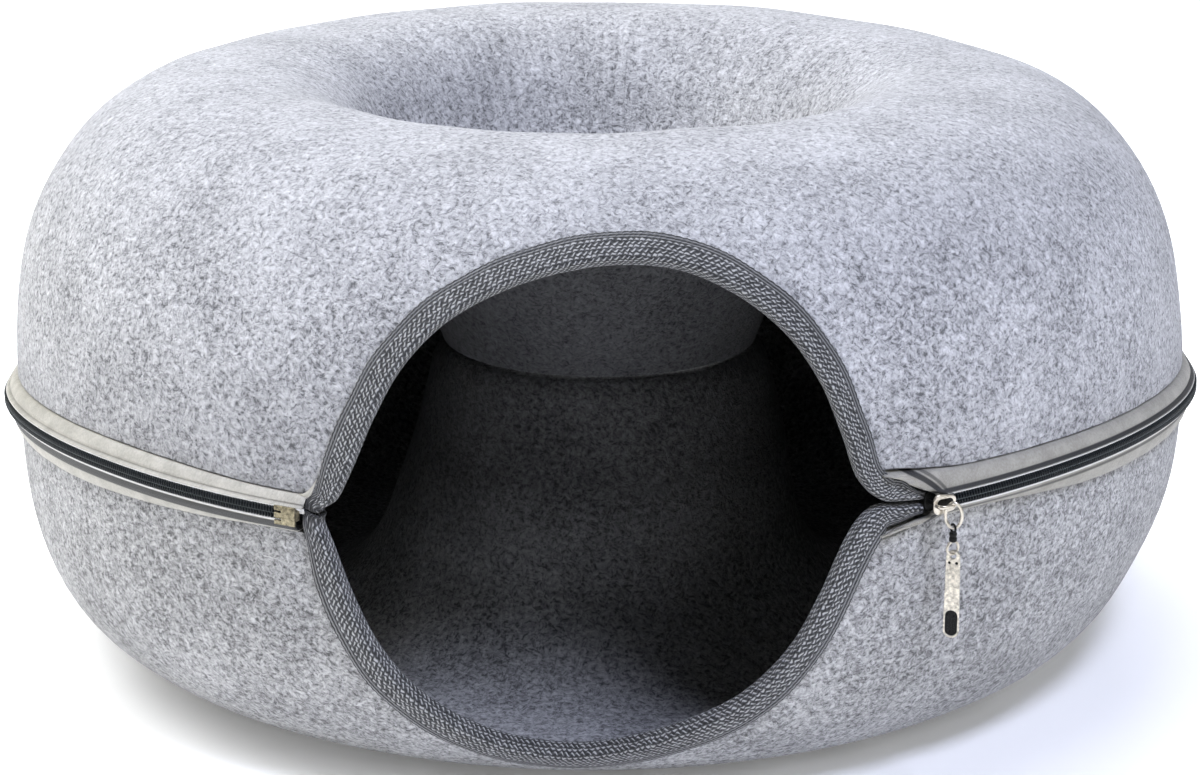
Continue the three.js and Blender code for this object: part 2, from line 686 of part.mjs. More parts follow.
// Puts a fitting at its angle on the ridge.
function onRidge(geometry, degrees) {
  const at = place(RIDGE_RADIUS, degrees, ZIP_HEIGHT);
  geometry.rotateZ(THREE.MathUtils.degToRad(degrees));
  return geometry.translate(at.x, at.y, at.z);
}

const group = new THREE.Group();
group.name = "felt_cat_tunnel";

function add(name, geometry, color, metalness) {
  const roughness = metalness > 0 ? 0.3 : 0.95;
  const material = new THREE.MeshStandardMaterial({ color, metalness, roughness });
  const mesh = new THREE.Mesh(geometry, material);
  mesh.name = name;
  group.add(mesh);
}

const tool = entranceTool();
add("felt_upper_shell", geometryOf(solid(upperShell()).subtract(tool)), 0xb4b6bb, 0);
add("felt_lower_shell", geometryOf(solid(lowerShell()).subtract(tool)), 0xaeb0b4, 0);
add("binding_upper", binding(UPPER_EDGE, true), 0x55575a, 0);
add("binding_lower", binding(LOWER_EDGE, false), 0x55575a, 0);
add("zip_tape_upper", zipTape(true), 0xb9b7b0, 0);
add("zip_tape_lower", zipTape(false), 0xb9b7b0, 0);
add("zip_coil_upper", zipCoil(true), 0x3b3f42, 0);
add("zip_coil_lower", zipCoil(false), 0x3b3f42, 0);
add("zip_stop", onRidge(stop(), STOP_ANGLE), 0xb59a5c, 1);
add("zip_slider", onRidge(slider(), SLIDER_ANGLE), 0xd8d2c4, 1);
add("pull_ring", onRidge(pullRing(), SLIDER_ANGLE), 0xd8d2c4, 1);
add("pull_swivel", onRidge(pullSwivel(), SLIDER_ANGLE), 0x4a4844, 1);
add("pull_tab", onRidge(pullTab(), SLIDER_ANGLE), 0xd8d2c4, 1);

const bounds = new THREE.Box3().setFromObject(group);
const middle = bounds.getCenter(new THREE.Vector3());
group.children.forEach((mesh) => mesh.geometry.translate(-middle.x, -middle.y, -bounds.min.z));

export default group;
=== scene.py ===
"""Felt cat tunnel: the looks of its felt, binding tape and zip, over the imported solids."""

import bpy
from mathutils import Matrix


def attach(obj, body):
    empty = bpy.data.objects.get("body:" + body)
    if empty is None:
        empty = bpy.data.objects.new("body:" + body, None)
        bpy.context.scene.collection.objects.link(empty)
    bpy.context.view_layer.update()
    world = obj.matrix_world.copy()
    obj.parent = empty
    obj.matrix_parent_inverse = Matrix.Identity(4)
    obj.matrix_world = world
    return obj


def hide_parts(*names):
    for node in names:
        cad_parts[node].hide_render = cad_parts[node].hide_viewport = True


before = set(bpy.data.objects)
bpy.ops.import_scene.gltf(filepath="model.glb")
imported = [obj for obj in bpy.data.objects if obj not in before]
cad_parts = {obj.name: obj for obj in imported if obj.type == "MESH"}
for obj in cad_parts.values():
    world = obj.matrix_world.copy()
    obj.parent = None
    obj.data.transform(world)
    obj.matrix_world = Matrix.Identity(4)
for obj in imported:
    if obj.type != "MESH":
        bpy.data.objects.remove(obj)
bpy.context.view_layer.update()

import math

import bmesh
import bpy
import numpy as np
from mathutils import Vector
from mathutils.geometry import tessellate_polygon

# Shape, in millimetres round the ring's own middle, as in the part's source
AXIS = (-2.3834, -12.1702)  # where the ring's middle lies in the row frame
FELT = 5.0
HEIGHT = 284.0
WALL_RADIUS = 292.7
ZIP_HEIGHT = 133.8
CROWN_RADIUS = 169.0
UPPER_POWER = 2.55
BASE_RADIUS = 194.3
LOWER_POWER = 2.44
LIP_RADIUS = 60.0
BOWL_EDGE = (74.5, 146.2)
HUMP_TOP = 145.8
HUMP_LOW = (101.0, 71.0)
HUMP_HIGH = (85.0, 136.0)
HUMP_SHOULDER = 10.0
FLARE_RADIUS = 70.0
RIDGE_RADIUS = 300.0
SLIDER_ANGLE = 29.5
STOP_ANGLE = -26.6

# tables by degrees from the entrance's middle, or by level: millimetres
ZIP_LINE = [
    (-120, 135), (-90, 124.7), (-75, 131.3), (-60, 136.8), (-45, 139.5), (-15, 138.6), (0, 138.5),
    (15, 140.1), (30, 142.5), (45, 143.8), (60, 142.2), (75, 137.5), (90, 131.4), (120, 138),
    (180, 138), (240, 135),
]
LEAN = [(0, -1.5), (50, -0.8), (100, 2.4), (150, 2.1), (190, 1.1), (284, 0.2)]
# the entrance's edge: degrees and millimetres up the wall
UPPER_EDGE = [
    (-24.4, 0.4), (-24.3, 1.9), (-23.2, 5.5), (-21.65, 20), (-19.45, 46), (-16.95, 71),
    (-13.4, 92.4), (-8.7, 108), (-3.5, 118), (2.1, 122.4), (7.7, 119), (12.7, 105.3),
    (16.7, 85.3), (19.4, 61), (21.1, 34.7), (22.4, 14), (24.3, 3.6), (26, 1.6), (28.2, 0.4),
]
LOWER_EDGE = [
    (-24.2, -1.2), (-24.4, -3.6), (-23.6, -14.6), (-21.9, -37), (-19.4, -61), (-16, -82),
    (-11.8, -99.2), (-6.9, -111.8), (-1.4, -116), (3.9, -109), (9, -97.5), (13.5, -83),
    (16.95, -61.6), (19.15, -37), (21.25, -13), (22.8, -3), (24.3, 0.6), (26, -0.5), (28.2, -1.4),
]
# from the zip line to the felt's cut edge
UPPER_GAP = [
    (-120, 10.5), (-60, 10.5), (-42, 10), (-28, 8), (0, 9), (24, 17), (26, 16.5), (28.5, 14.5),
    (32, 12.4), (45, 11), (60, 10.5), (240, 10.5),
]
LOWER_GAP = [
    (-120, 13), (-60, 15), (-50, 14.5), (-37, 11.8), (-28, 9.5), (0, 10), (24.5, 14), (28.2, 9.8),
    (34, 8.2), (42, 10.8), (48, 13), (60, 14), (120, 13), (240, 13),
]
BINDING = 1.2
# by share of the entrance's edge
UPPER_WIDTHS = [(0, 12.3), (0.3, 12.5), (0.5, 13.8), (0.68, 12.5), (0.85, 10.7), (1, 10.7)]
LOWER_WIDTHS = [(0, 12.5), (1, 12.5)]
# at the edge's left and right end: width, and the run over which it is reached
BINDING_ENDS = (7.5, 4.2)
UPPER_TAPERS = (30.0, 15.0)
LOWER_TAPERS = (30.0, 30.0)
UPPER_TAPE_ENDS = (26.1, -25.4)
LOWER_TAPE_ENDS = (26.0, -26.4)
# height of the open tape's inner edge, by degrees
UPPER_OPEN = [(25.6, 15.5), (26.4, 13), (27.4, 7), (28.2, 5)]
LOWER_OPEN = [(25.5, 8.5), (27.9, 5.5)]
CLEARANCE = 0.3  # between touching pieces
INNER_CLEARANCE = 1.1
COIL_PITCH = 1.5
COIL_ENDS = (29.1, -27.3)


# Small mathematics
def ease(x):
    t = np.clip(x, 0, 1)
    return t * t * (3 - 2 * t)


def unit(vectors):
    return vectors / np.linalg.norm(vectors, axis=-1)[..., None]


def run_of(points):
    """The way along a line at each of its points."""
    return np.concatenate([[0], np.cumsum(np.linalg.norm(np.diff(points, axis=0), axis=1))])


def spun(x, y, degrees):
    """Turned about the height."""
    c, d = math.cos(math.radians(degrees)), math.sin(math.radians(degrees))
    return c * x - d * y, d * x + c * y


def between(table, x):
    """Smooth value between the rows of a short table, as in the part's source."""
    rows = np.array(table, float)
    xs, ys = rows[:, 0], rows[:, 1]
    x = np.clip(np.asarray(x, float), xs[0], xs[-1])
    slopes = np.empty(len(xs))
    slopes[1:-1] = (ys[2:] - ys[:-2]) / (xs[2:] - xs[:-2])
    slopes[0] = (ys[1] - ys[0]) / (xs[1] - xs[0])
    slopes[-1] = (ys[-1] - ys[-2]) / (xs[-1] - xs[-2])
    i = np.clip(np.searchsorted(xs, x, side="right") - 1, 0, len(xs) - 2)
    span = xs[i + 1] - xs[i]
    t = (x - xs[i]) / span
    bend = slopes[i] * span * (t**3 - 2 * t * t + t) + slopes[i + 1] * span * (t**3 - t * t)
    return ys[i] * (2 * t**3 - 3 * t * t + 1) + ys[i + 1] * (3 * t * t - 2 * t**3) + bend


def around(degrees):
    """The same angle in the tables' range."""
    d = np.asarray(degrees, float)
    return np.where(d > 240, d - 360, d)


def place(radius, degrees, level):
    """Point of the soft body from radius, degrees from the entrance and level."""
    radius, degrees, level = np.broadcast_arrays(radius, degrees, level)
    turn = np.radians(degrees)
    span = np.where(level < ZIP_HEIGHT, ZIP_HEIGHT, HEIGHT - ZIP_HEIGHT)
    near = ease(1 - np.abs(level - ZIP_HEIGHT) / span) * ease((radius - 190) / 70)
    rise = (between(ZIP_LINE, around(degrees)) - ZIP_HEIGHT) * near
    x = radius * np.sin(turn) + between(LEAN, level)
    return np.stack([x, -radius * np.cos(turn), level + rise], -1)


class Line:
    """A line in radius and level, measured by its own length, with its outward side."""

    def __init__(self, points, side):
        self.p = points
        self.s = run_of(self.p)
        self.length = self.s[-1]
        along = unit(np.gradient(self.p, self.s, axis=0))
        self.out = side * np.stack([along[:, 1], -along[:, 0]], axis=1)

    def at(self, s, over):
        """Radius and level, a distance along the line and another over it."""
        r, z, nr, nz = (np.interp(s, self.s, row) for row in (*self.p.T, *self.out.T))
        return r + nr * over, z + nz * over


def shoulder(middle, foot, power):
    """The rounded square of a shell, from the zip line to the middle of its crown or base."""
    t = np.linspace(0, np.pi / 2, 400)
    out = np.cos(t) ** (2 / power) * (WALL_RADIUS - middle)
    along = np.sin(t) ** (2 / power) * (foot - ZIP_HEIGHT)
    return np.stack([middle + out, ZIP_HEIGHT + along], axis=1)


def arc(centre, radius, start, stop, steps):
    t = np.radians(np.linspace(start, stop, steps))
    return np.stack([centre[0] + radius * np.cos(t), centre[1] + radius * np.sin(t)], axis=1)


def even(points, spacing):
    """The same line with points a spacing apart."""
    points = np.array(points, float)
    s = run_of(points)
    t = np.linspace(0, s[-1], max(2, int(round(s[-1] / spacing)) + 1))
    return np.stack([np.interp(t, s, row) for row in points.T], axis=1)


def soften(points, passes):
    """Rounds a line a little, its ends kept."""
    for _ in range(passes):
        points[1:-1] = 0.25 * points[:-2] + 0.5 * points[1:-1] + 0.25 * points[2:]
    return points


def upper_line():
    centre = (CROWN_RADIUS, HEIGHT - LIP_RADIUS)
    away = (centre[0] - BOWL_EDGE[0], centre[1] - BOWL_EDGE[1])
    slope = math.degrees(math.atan2(away[1], away[0]) + math.asin(LIP_RADIUS / math.hypot(*away)))
    lip = arc(centre, LIP_RADIUS, 90, 90 + slope, 80)[1:]
    points = np.vstack([shoulder(CROWN_RADIUS, HEIGHT, UPPER_POWER), lip, [BOWL_EDGE]])
    return Line(soften(even(points, 1.0), 12), 1)


def lower_line():
    tilt = math.atan2(HUMP_LOW[0] - HUMP_HIGH[0], HUMP_HIGH[1] - HUMP_LOW[1])

    def side(level):
        return HUMP_LOW[0] - (level - HUMP_LOW[1]) * math.tan(tilt)

    degrees = math.degrees(tilt)
    flare_level = FELT + FLARE_RADIUS
    flare = (side(flare_level) + FLARE_RADIUS / math.cos(tilt), flare_level)
    top_level = HUMP_TOP - HUMP_SHOULDER
    top = (side(top_level) - HUMP_SHOULDER / math.cos(tilt), top_level)
    rise = arc(flare, FLARE_RADIUS + FELT, 270, 180 + degrees, 80)
    turn = arc(top, HUMP_SHOULDER - FELT, degrees, 90, 12)
    middle = [(0.5, HUMP_TOP - FELT)]
    points = np.vstack([shoulder(BASE_RADIUS, 0, LOWER_POWER), rise, turn, middle])
    return Line(soften(even(points, 1.0), 3), -1)


UPPER = upper_line()
LOWER = lower_line()


def wall_point(degrees, up, over):
    """Point over the wall: degrees from the entrance, millimetres up it from the zip line."""
    ru, zu = UPPER.at(np.abs(up), over)
    rl, zl = LOWER.at(np.abs(up), over)
    radius = np.where(up < 0, rl, ru)
    return place(radius, degrees, np.where(up < 0, zl, zu))


# Meshes
def added(name, data):
    """A new object in the scene."""
    obj = bpy.data.objects.new(name, data)
    bpy.context.scene.collection.objects.link(obj)
    return obj


def piece(name, points, faces, material, uv=None, smooth=True):
    """A mesh object from points in millimetres round the ring's middle."""
    points = points.reshape(-1, 3) + [*AXIS, 0]
    mesh = bpy.data.meshes.new(name)
    mesh.from_pydata((points / 1000).tolist(), [], [tuple(int(i) for i in f) for f in faces])
    mesh.validate()
    if uv is not None:
        layer = mesh.uv_layers.new(name="UVMap")
        index = np.empty(len(mesh.loops), np.int32)
        mesh.loops.foreach_get("vertex_index", index)
        layer.data.foreach_set("uv", (np.asarray(uv, float)[index] / 1000).ravel())
    mesh.polygons.foreach_set("use_smooth", [smooth] * len(mesh.polygons))
    mesh.materials.append(material)
    mesh.update()
    obj = added(name, mesh)
    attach(obj, "root")
    return obj


def skin(rings, round_):
    """Quads over rings of points, joined last to first when round, or else with lids."""
    rings = np.asarray(rings, float)
    n, m = rings.shape[:2]
    i, j = np.meshgrid(np.arange(n if round_ else n - 1), np.arange(m), indexing="ij")
    a, b = i * m, ((i + 1) % n) * m
    k = (j + 1) % m
    faces = np.stack([a + j, a + k, b + k, b + j], -1).reshape(-1, 4).tolist()
    if not round_:
        faces += [list(range(m))[::-1], [(n - 1) * m + q for q in range(m)]]
    return rings.reshape(-1, 3), faces


def many(parts):
    """One list of points and faces from several."""
    points, faces, base = [], [], 0
    for p, f in parts:
        points.append(p)
        faces += [[i + base for i in face] for face in f]
        base += len(p)
    return np.vstack(points), faces


def mend_normals(obj):
    """Turns every face outwards."""
    bm = bmesh.new()
    bm.from_mesh(obj.data)
    bmesh.ops.remove_doubles(bm, verts=bm.verts, dist=1e-6)
    bmesh.ops.recalc_face_normals(bm, faces=bm.faces)
    bm.to_mesh(obj.data)
    bm.free()
    return obj


def settle(obj):
    """Applies the object's modifiers."""
    graph = bpy.context.evaluated_depsgraph_get()
    mesh = bpy.data.meshes.new_from_object(obj.evaluated_get(graph))
    obj.modifiers.clear()
    old = obj.data
    obj.data = mesh
    bpy.data.meshes.remove(old)


# Materials
class Nodes:
    """Short names for the nodes of one material."""

    def __init__(self, name):
        self.material = bpy.data.materials.new(name)
        self.material.use_nodes = True
        self.tree = self.material.node_tree
        self.shader = self.tree.nodes["Principled BSDF"]

    def new(self, kind, **settings):
        node = self.tree.nodes.new(kind)
        for key, value in settings.items():
            setattr(node, key, value)
        return node

    def link(self, source, target):
        self.tree.links.new(source, target)

    def put(self, socket, value):
        """Links a socket, or sets it on the node itself."""
        if isinstance(value, bpy.types.NodeSocket):
            self.link(value, socket)
        else:
            socket.default_value = value

    def finish(self, **sockets):
        """Fills the shader's sockets, _ standing for a space, and returns the material."""
        for name, value in sockets.items():
            self.put(self.shader.inputs[name.replace("_", " ")], value)
        return self.material

    def coordinates(self, kind):
        return self.new("ShaderNodeTexCoord").outputs[kind]

    def split(self, vector):
        node = self.new("ShaderNodeSeparateXYZ")
        self.link(vector, node.inputs[0])
        return list(node.outputs)

    def value(self, operation, *inputs, clamp=False):
        node = self.new("ShaderNodeMath", operation=operation, use_clamp=clamp)
        for socket, value in zip(node.inputs, inputs):
            self.put(socket, value)
        return node.outputs[0]

    def times(self, a, b):
        return self.value("MULTIPLY", a, b)

    def add(self, value, gain, base):
        """A value times a gain, added to a base."""
        return self.value("MULTIPLY_ADD", value, gain, base)

    def swing(self, noise, gain, base):
        """A base moved up and down by a noise round 0.5."""
        return self.add(self.value("SUBTRACT", noise, 0.5), gain, base)

    def past(self, value, mark, gain):
        """0 up to the mark and rising to 1 past it."""
        return self.value("MULTIPLY", self.value("SUBTRACT", value, mark), gain, clamp=True)

    def away(self, value, mark):
        return self.value("ABSOLUTE", self.value("SUBTRACT", value, mark))

    def wave(self, value, period):
        return self.value("SINE", self.times(value, 2 * math.pi / period))

    def vector(self, operation, *inputs, output=0):
        node = self.new("ShaderNodeVectorMath", operation=operation)
        for socket, value in zip(node.inputs, inputs):
            self.put(socket, value)
        return node.outputs[output]

    def length(self, vector):
        return self.vector("LENGTH", vector, output="Value")

    def scaled(self, vector, factor):
        node = self.new("ShaderNodeVectorMath", operation="SCALE")
        self.link(vector, node.inputs[0])
        node.inputs["Scale"].default_value = factor
        return node.outputs[0]

    def noise(self, vector, scale, detail, roughness, output="Fac"):
        node = self.new("ShaderNodeTexNoise")
        self.link(vector, node.inputs["Vector"])
        node.inputs["Scale"].default_value = scale
        node.inputs["Detail"].default_value = detail
        node.inputs["Roughness"].default_value = roughness
        return node.outputs[output]

    def ramp(self, factor, stops):
        node = self.new("ShaderNodeValToRGB")
        ramp = node.color_ramp
        while len(ramp.elements) < len(stops):
            ramp.elements.new(0.5)
        for element, (at, colour) in zip(ramp.elements, stops):
            element.position = at
            element.color = (*colour, 1)
        self.link(factor, node.inputs[0])
        return node.outputs[0]

    def mix(self, factor, a, b, mode="MIX"):
        node = self.new("ShaderNodeMix", data_type="RGBA", blend_type=mode)
        self.put(node.inputs[0], factor)
        for socket, value in ((node.inputs[6], a), (node.inputs[7], b)):
            if not isinstance(value, bpy.types.NodeSocket):
                value = (*value, 1)
            self.put(socket, value)
        return node.outputs[2]

    def bump(self, height, distance, strength):
        node = self.new("ShaderNodeBump")
        node.inputs["Strength"].default_value = strength
        node.inputs["Distance"].default_value = distance
        self.link(height, node.inputs["Height"])
        return node.outputs[0]


BLACK = (0.0, 0.0, 0.0)
FELT_MIDDLE = 0.46  # tone of the felt's middle colour
FIBRE_TURNS = ((0.3, 0.5, 0.0), (0.9, -0.4, 1.1), (-0.5, 0.2, 2.2))
FIBRE_STRETCH = (3.0, 1.0, 1.0)
# the binding's weave in metres: one float along a row, one row, and one plain line
FLOAT_STEP, ROW_STEP, LINE_STEP = 0.0028, 0.0018, 0.00145
FLOAT_LEAN = 0.7
SELVAGE = 0.0046
# how far the painted shade reaches along the binding's left end
END_SHADE = 0.0035
# painted shade in the folds of the open tape: place along it at its inner edge, half width and
# darkness
TAPE_FOLDS = ((0.1580, 0.0018, 1.0), (0.1612, 0.0012, 0.7))
FOLD_LEAN = 0.8


def felt_material(name, dark, middle, light, contrast, streaks_and_zip_shade=False, shade=""):
    """Heathered needle felt: pale cloth with short dark and white fibres in all directions."""
    n = Nodes(name)
    at = n.coordinates("Object")
    swirl = n.noise(at, 140, 2, 0.5, "Color")
    moved = n.vector("ADD", at, n.scaled(n.vector("SUBTRACT", swirl, (0.5, 0.5, 0.5)), 0.005))
    patches = n.noise(moved, 350, 3, 0.6)
    speckle = n.noise(moved, 850, 2, 0.6)
    # noises drawn out along three directions make short fibres
    dark_fibres, white_fibres = [], []
    for turn in FIBRE_TURNS:
        node = n.new("ShaderNodeMapping", vector_type="TEXTURE")
        n.link(moved, node.inputs["Vector"])
        node.inputs["Rotation"].default_value = turn
        node.inputs["Scale"].default_value = FIBRE_STRETCH
        line = n.noise(node.outputs[0], 720, 1, 0.5)
        dark_fibres.append(n.past(line, 0.57, 7.0))
        white_fibres.append(n.past(0.42, line, 6.0))
    black, pale = (
        n.value("MAXIMUM", n.value("MAXIMUM", *fibres[:2]), fibres[2])
        for fibres in (dark_fibres, white_fibres)
    )
    tone = n.swing(patches, 1.05, 0.5)
    tone = n.swing(speckle, 0.5, tone)
    tone = n.swing(n.noise(at, 26, 2, 0.5), 0.35, tone)
    tone = n.add(black, -0.24, n.add(pale, 0.11, tone))
    # metres from the ring's middle, and up from the floor
    middle_point = (AXIS[0] / 1000, AXIS[1] / 1000, 0)
    flat = n.vector("MULTIPLY", n.vector("SUBTRACT", at, middle_point), (1, 1, 0))
    radius = n.length(flat)
    level = n.split(at)[2]
    # the crown is more even than the sides
    spread = n.add(n.past(level, 0.225, 14.0), -0.36, contrast)
    tone = n.add(n.value("SUBTRACT", tone, FELT_MIDDLE), spread, FELT_MIDDLE)
    if streaks_and_zip_shade:
        # fibres drawn down into the bowl, measured round its middle
        way = n.scaled(n.vector("NORMALIZE", flat), 62.0)
        lift = n.new("ShaderNodeCombineXYZ")
        n.link(n.times(n.value("SUBTRACT", radius, level), 55.0), lift.inputs[2])
        streak = n.noise(n.vector("ADD", way, lift.outputs[0]), 1.0, 2, 0.6)
        inside = n.past(0.185, radius, 26.0)
        tone = n.add(n.times(n.value("SUBTRACT", streak, 0.52), inside), 0.38, tone)
    colour = n.ramp(tone, [(0.1, dark), (FELT_MIDDLE, middle), (0.86, light)])
    if streaks_and_zip_shade:
        # painted shade: a little darker down towards the zip
        colour = n.mix(n.times(n.past(0.205, level, 15.0), 0.22), colour, BLACK)
    # painted shade on the side hidden from the light: all of it, or only the hump that stands in
    # the tunnel
    if shade == "all":
        colour = n.mix(1.0, colour, (0.315, 0.315, 0.315), "MULTIPLY")
    if shade == "hump":
        # painted shade on the hump that stands in the tunnel
        hump = n.times(n.past(level, 0.05, 22.0), n.past(0.15, radius, 30.0))
        colour = n.mix(n.times(hump, 0.62), colour, BLACK)
    height = n.add(black, -0.35, n.add(speckle, 0.5, patches))
    height = n.add(pale, 0.25, height)
    return n.finish(
        Base_Color=colour, Normal=n.bump(height, 0.0008, 0.75), Roughness=0.95,
        Specular_IOR_Level=0.15, Sheen_Weight=0.2, Sheen_Roughness=0.6,
    )


def binding_material(name):
    """Dark webbing: rows of leaning pale floats along the tape, two plain lines at its selvage."""
    n = Nodes(name)
    uv = n.coordinates("UV")
    run, width, _ = n.split(uv)
    along = n.add(n.noise(uv, 110, 2, 0.6), 0.0034, run)
    across = n.add(n.noise(uv, 140, 1, 0.5), 0.0022, width)
    across = n.add(n.wave(along, FLOAT_STEP), 0.0003, across)
    rows = n.times(across, 1 / ROW_STEP)
    # the floats lean within a row and are set half a step on from row to row
    step = n.add(n.value("FLOOR", rows), 0.5 - FLOAT_LEAN, n.times(rows, FLOAT_LEAN))
    floats = n.add(n.wave(n.add(along, 1 / FLOAT_STEP, step), 1.0), 0.36, 0.64)
    row = n.value("ABSOLUTE", n.wave(rows, 2.0))
    yarn = n.times(floats, n.add(row, 0.95, 0.05))
    fine = n.noise(uv, 2000, 2, 0.6)
    tone = n.swing(fine, 0.5, yarn)
    tone = n.swing(n.noise(uv, 260, 2, 0.6), 0.9, tone)
    plain = n.add(n.value("ABSOLUTE", n.wave(width, 2 * LINE_STEP)), 0.72, -0.1)
    edge = n.past(SELVAGE, width, 1800.0)
    tone = n.value("ADD", tone, n.times(n.value("SUBTRACT", plain, tone), edge))
    # painted shade over the last few millimetres of the binding's cut left end
    tone = n.add(n.past(END_SHADE, run, 300.0), -0.45, tone)
    dark, middle, light = (0.01, 0.011, 0.012), (0.08, 0.082, 0.086), (0.46, 0.463, 0.463)
    colour = n.ramp(tone, [(0.12, dark), (0.46, middle), (0.86, light)])
    height = n.add(fine, 0.25, yarn)
    return n.finish(
        Base_Color=colour, Normal=n.bump(height, 0.0008, 0.9), Roughness=0.7, Sheen_Weight=0.15
    )


def tape_material(name, roll, places, widths, depths):
    """Pale zip tape: a fine ribbed weave, white where it rolls over beside the coil as a painted
    highlight, with painted shade in a dark groove behind the roll: where it lies and how wide and
    dark it is, at the right and the left."""
    n = Nodes(name)
    uv = n.coordinates("UV")
    run, width, _ = n.split(uv)
    weave = n.times(n.wave(width, 0.0007), n.wave(run, 0.0009))
    tone = n.add(weave, 0.14, n.noise(uv, 90, 3, 0.6))
    tone = n.swing(n.noise(uv, 900, 2, 0.6), 0.7, tone)
    colour = n.ramp(tone, [(0.3, (0.36, 0.345, 0.30)), (0.7, (0.53, 0.51, 0.452))])
    # from 0 at the entrance's right, where the tape is darker, to 1 at its left
    left = n.past(run, 0.45, 1.1)
    colour = n.mix(n.add(left, -0.2, 0.22), colour, BLACK)
    # painted highlight: white on the roll beside the coil
    colour = n.mix(n.past(roll, width, 4000.0), colour, (0.74, 0.735, 0.71))
    # painted shade in the groove behind the roll
    at, half, depth = (n.add(left, b - a, a) for a, b in (places, widths, depths))
    groove = n.past(half, n.away(width, at), 1800.0)
    colour = n.mix(n.times(groove, depth), colour, (0.03, 0.03, 0.028))
    # painted shade along the folds of the open tape
    lean = n.add(width, FOLD_LEAN, run)
    for at, half, depth in TAPE_FOLDS:
        fold = n.past(half, n.away(lean, at), 1500.0)
        colour = n.mix(n.times(fold, depth), colour, (0.025, 0.025, 0.025))
    return n.finish(
        Base_Color=colour, Normal=n.bump(weave, 0.00012, 0.7), Roughness=0.6, Sheen_Weight=0.1
    )


def coil_material(name):
    """Near-black nylon with a painted highlight: a paler line where the two sides meet."""
    n = Nodes(name)
    uv = n.coordinates("UV")
    # painted highlight along the middle of the chain
    off = n.times(n.value("ABSOLUTE", n.split(uv)[1]), 3200.0)
    middle = n.value("SUBTRACT", 1.0, off, clamp=True)
    grain = n.noise(uv, 900, 2, 0.6)
    dark = n.ramp(grain, [(0.3, (0.004, 0.006, 0.007)), (0.7, (0.012, 0.016, 0.018))])
    return n.finish(
        Base_Color=n.mix(middle, dark, (0.10, 0.115, 0.115)), Normal=n.bump(grain, 0.00004, 0.5),
        Roughness=0.45, Specular_IOR_Level=0.2,
    )


def plain_material(name, colour, roughness, metallic, grain, scale, shine=0.5):
    """Metal with a little unevenness."""
    n = Nodes(name)
    noise = n.noise(n.coordinates("Object"), scale, 3, 0.6)
    return n.finish(
        Base_Color=n.mix(1.0, colour, n.swing(noise, grain, 1.0), "MULTIPLY"),
        Roughness=n.swing(noise, 0.25, roughness), Normal=n.bump(noise, 0.0001, 0.5),
        Metallic=metallic, Specular_IOR_Level=shine,
    )


FELT_TOP = felt_material(
    "felt_top", (0.11, 0.112, 0.118), (0.388, 0.39, 0.403), (0.67, 0.672, 0.69), 1.14,
    streaks_and_zip_shade=True,
)
# the top shell's tunnel side: the same felt, darkened all over as painted shade
FELT_INSIDE_SHADED = felt_material(
    "felt_inside_shaded", (0.11, 0.112, 0.117), (0.388, 0.39, 0.40), (0.66, 0.665, 0.68), 1.0,
    shade="all",
)
# the base felt: a darker copy of the top felt as painted shade, with more painted shade on the hump
FELT_BASE = felt_material(
    "felt_base", (0.097, 0.097, 0.098), (0.318, 0.318, 0.32), (0.585, 0.585, 0.585), 1.3,
    shade="hump",
)
WEBBING = binding_material("binding_webbing")
TAPE_TOP = tape_material("zip_tape_top", 0.0034, (0.0042, 0.0044), (0.001, 0.0006), (1.0, 0.4))
TAPE_BASE = tape_material("zip_tape_base", 0.0045, (0.0061, 0.0067), (0.0009, 0.0022), (0.8, 0.99))
NYLON = coil_material("coil_nylon")
SILVER = plain_material("pale_metal", (0.60, 0.555, 0.47), 0.3, 1.0, 0.8, 420)
BRASS = plain_material("brass", (0.25, 0.22, 0.145), 0.45, 0.9, 3.2, 620)
WORN = plain_material("worn_metal", (0.56, 0.52, 0.44), 0.38, 0.9, 2.6, 640)
# near-black metal, also used as painted shade inside the slider
DARK_METAL_AND_SHADE = plain_material("dark_metal_and_shade", (0.008, 0.008, 0.007), 0.3, 0.0, 0.8, 500, 0.14)


# Felt shells
FINE_ROWS, COARSE_ROWS = 62, 34
CORNER = 0.6  # rounding of the cut edges
# height of each wave, how many lie round the ring, its run up the wall, and its phase
WAVES = ((0.42, 3, 47, 1), (0.34, 7, -33, 2.1), (0.26, 11, 23, 1.3), (0.18, 17, -15, 0.7))


def unevenness(degrees, s, phase):
    """Slow waves of a hand-shaped shell, in millimetres."""
    t = np.radians(degrees)
    return sum(
        high * np.sin(count * t + s / run + shift * phase) for high, count, run, shift in WAVES
    )


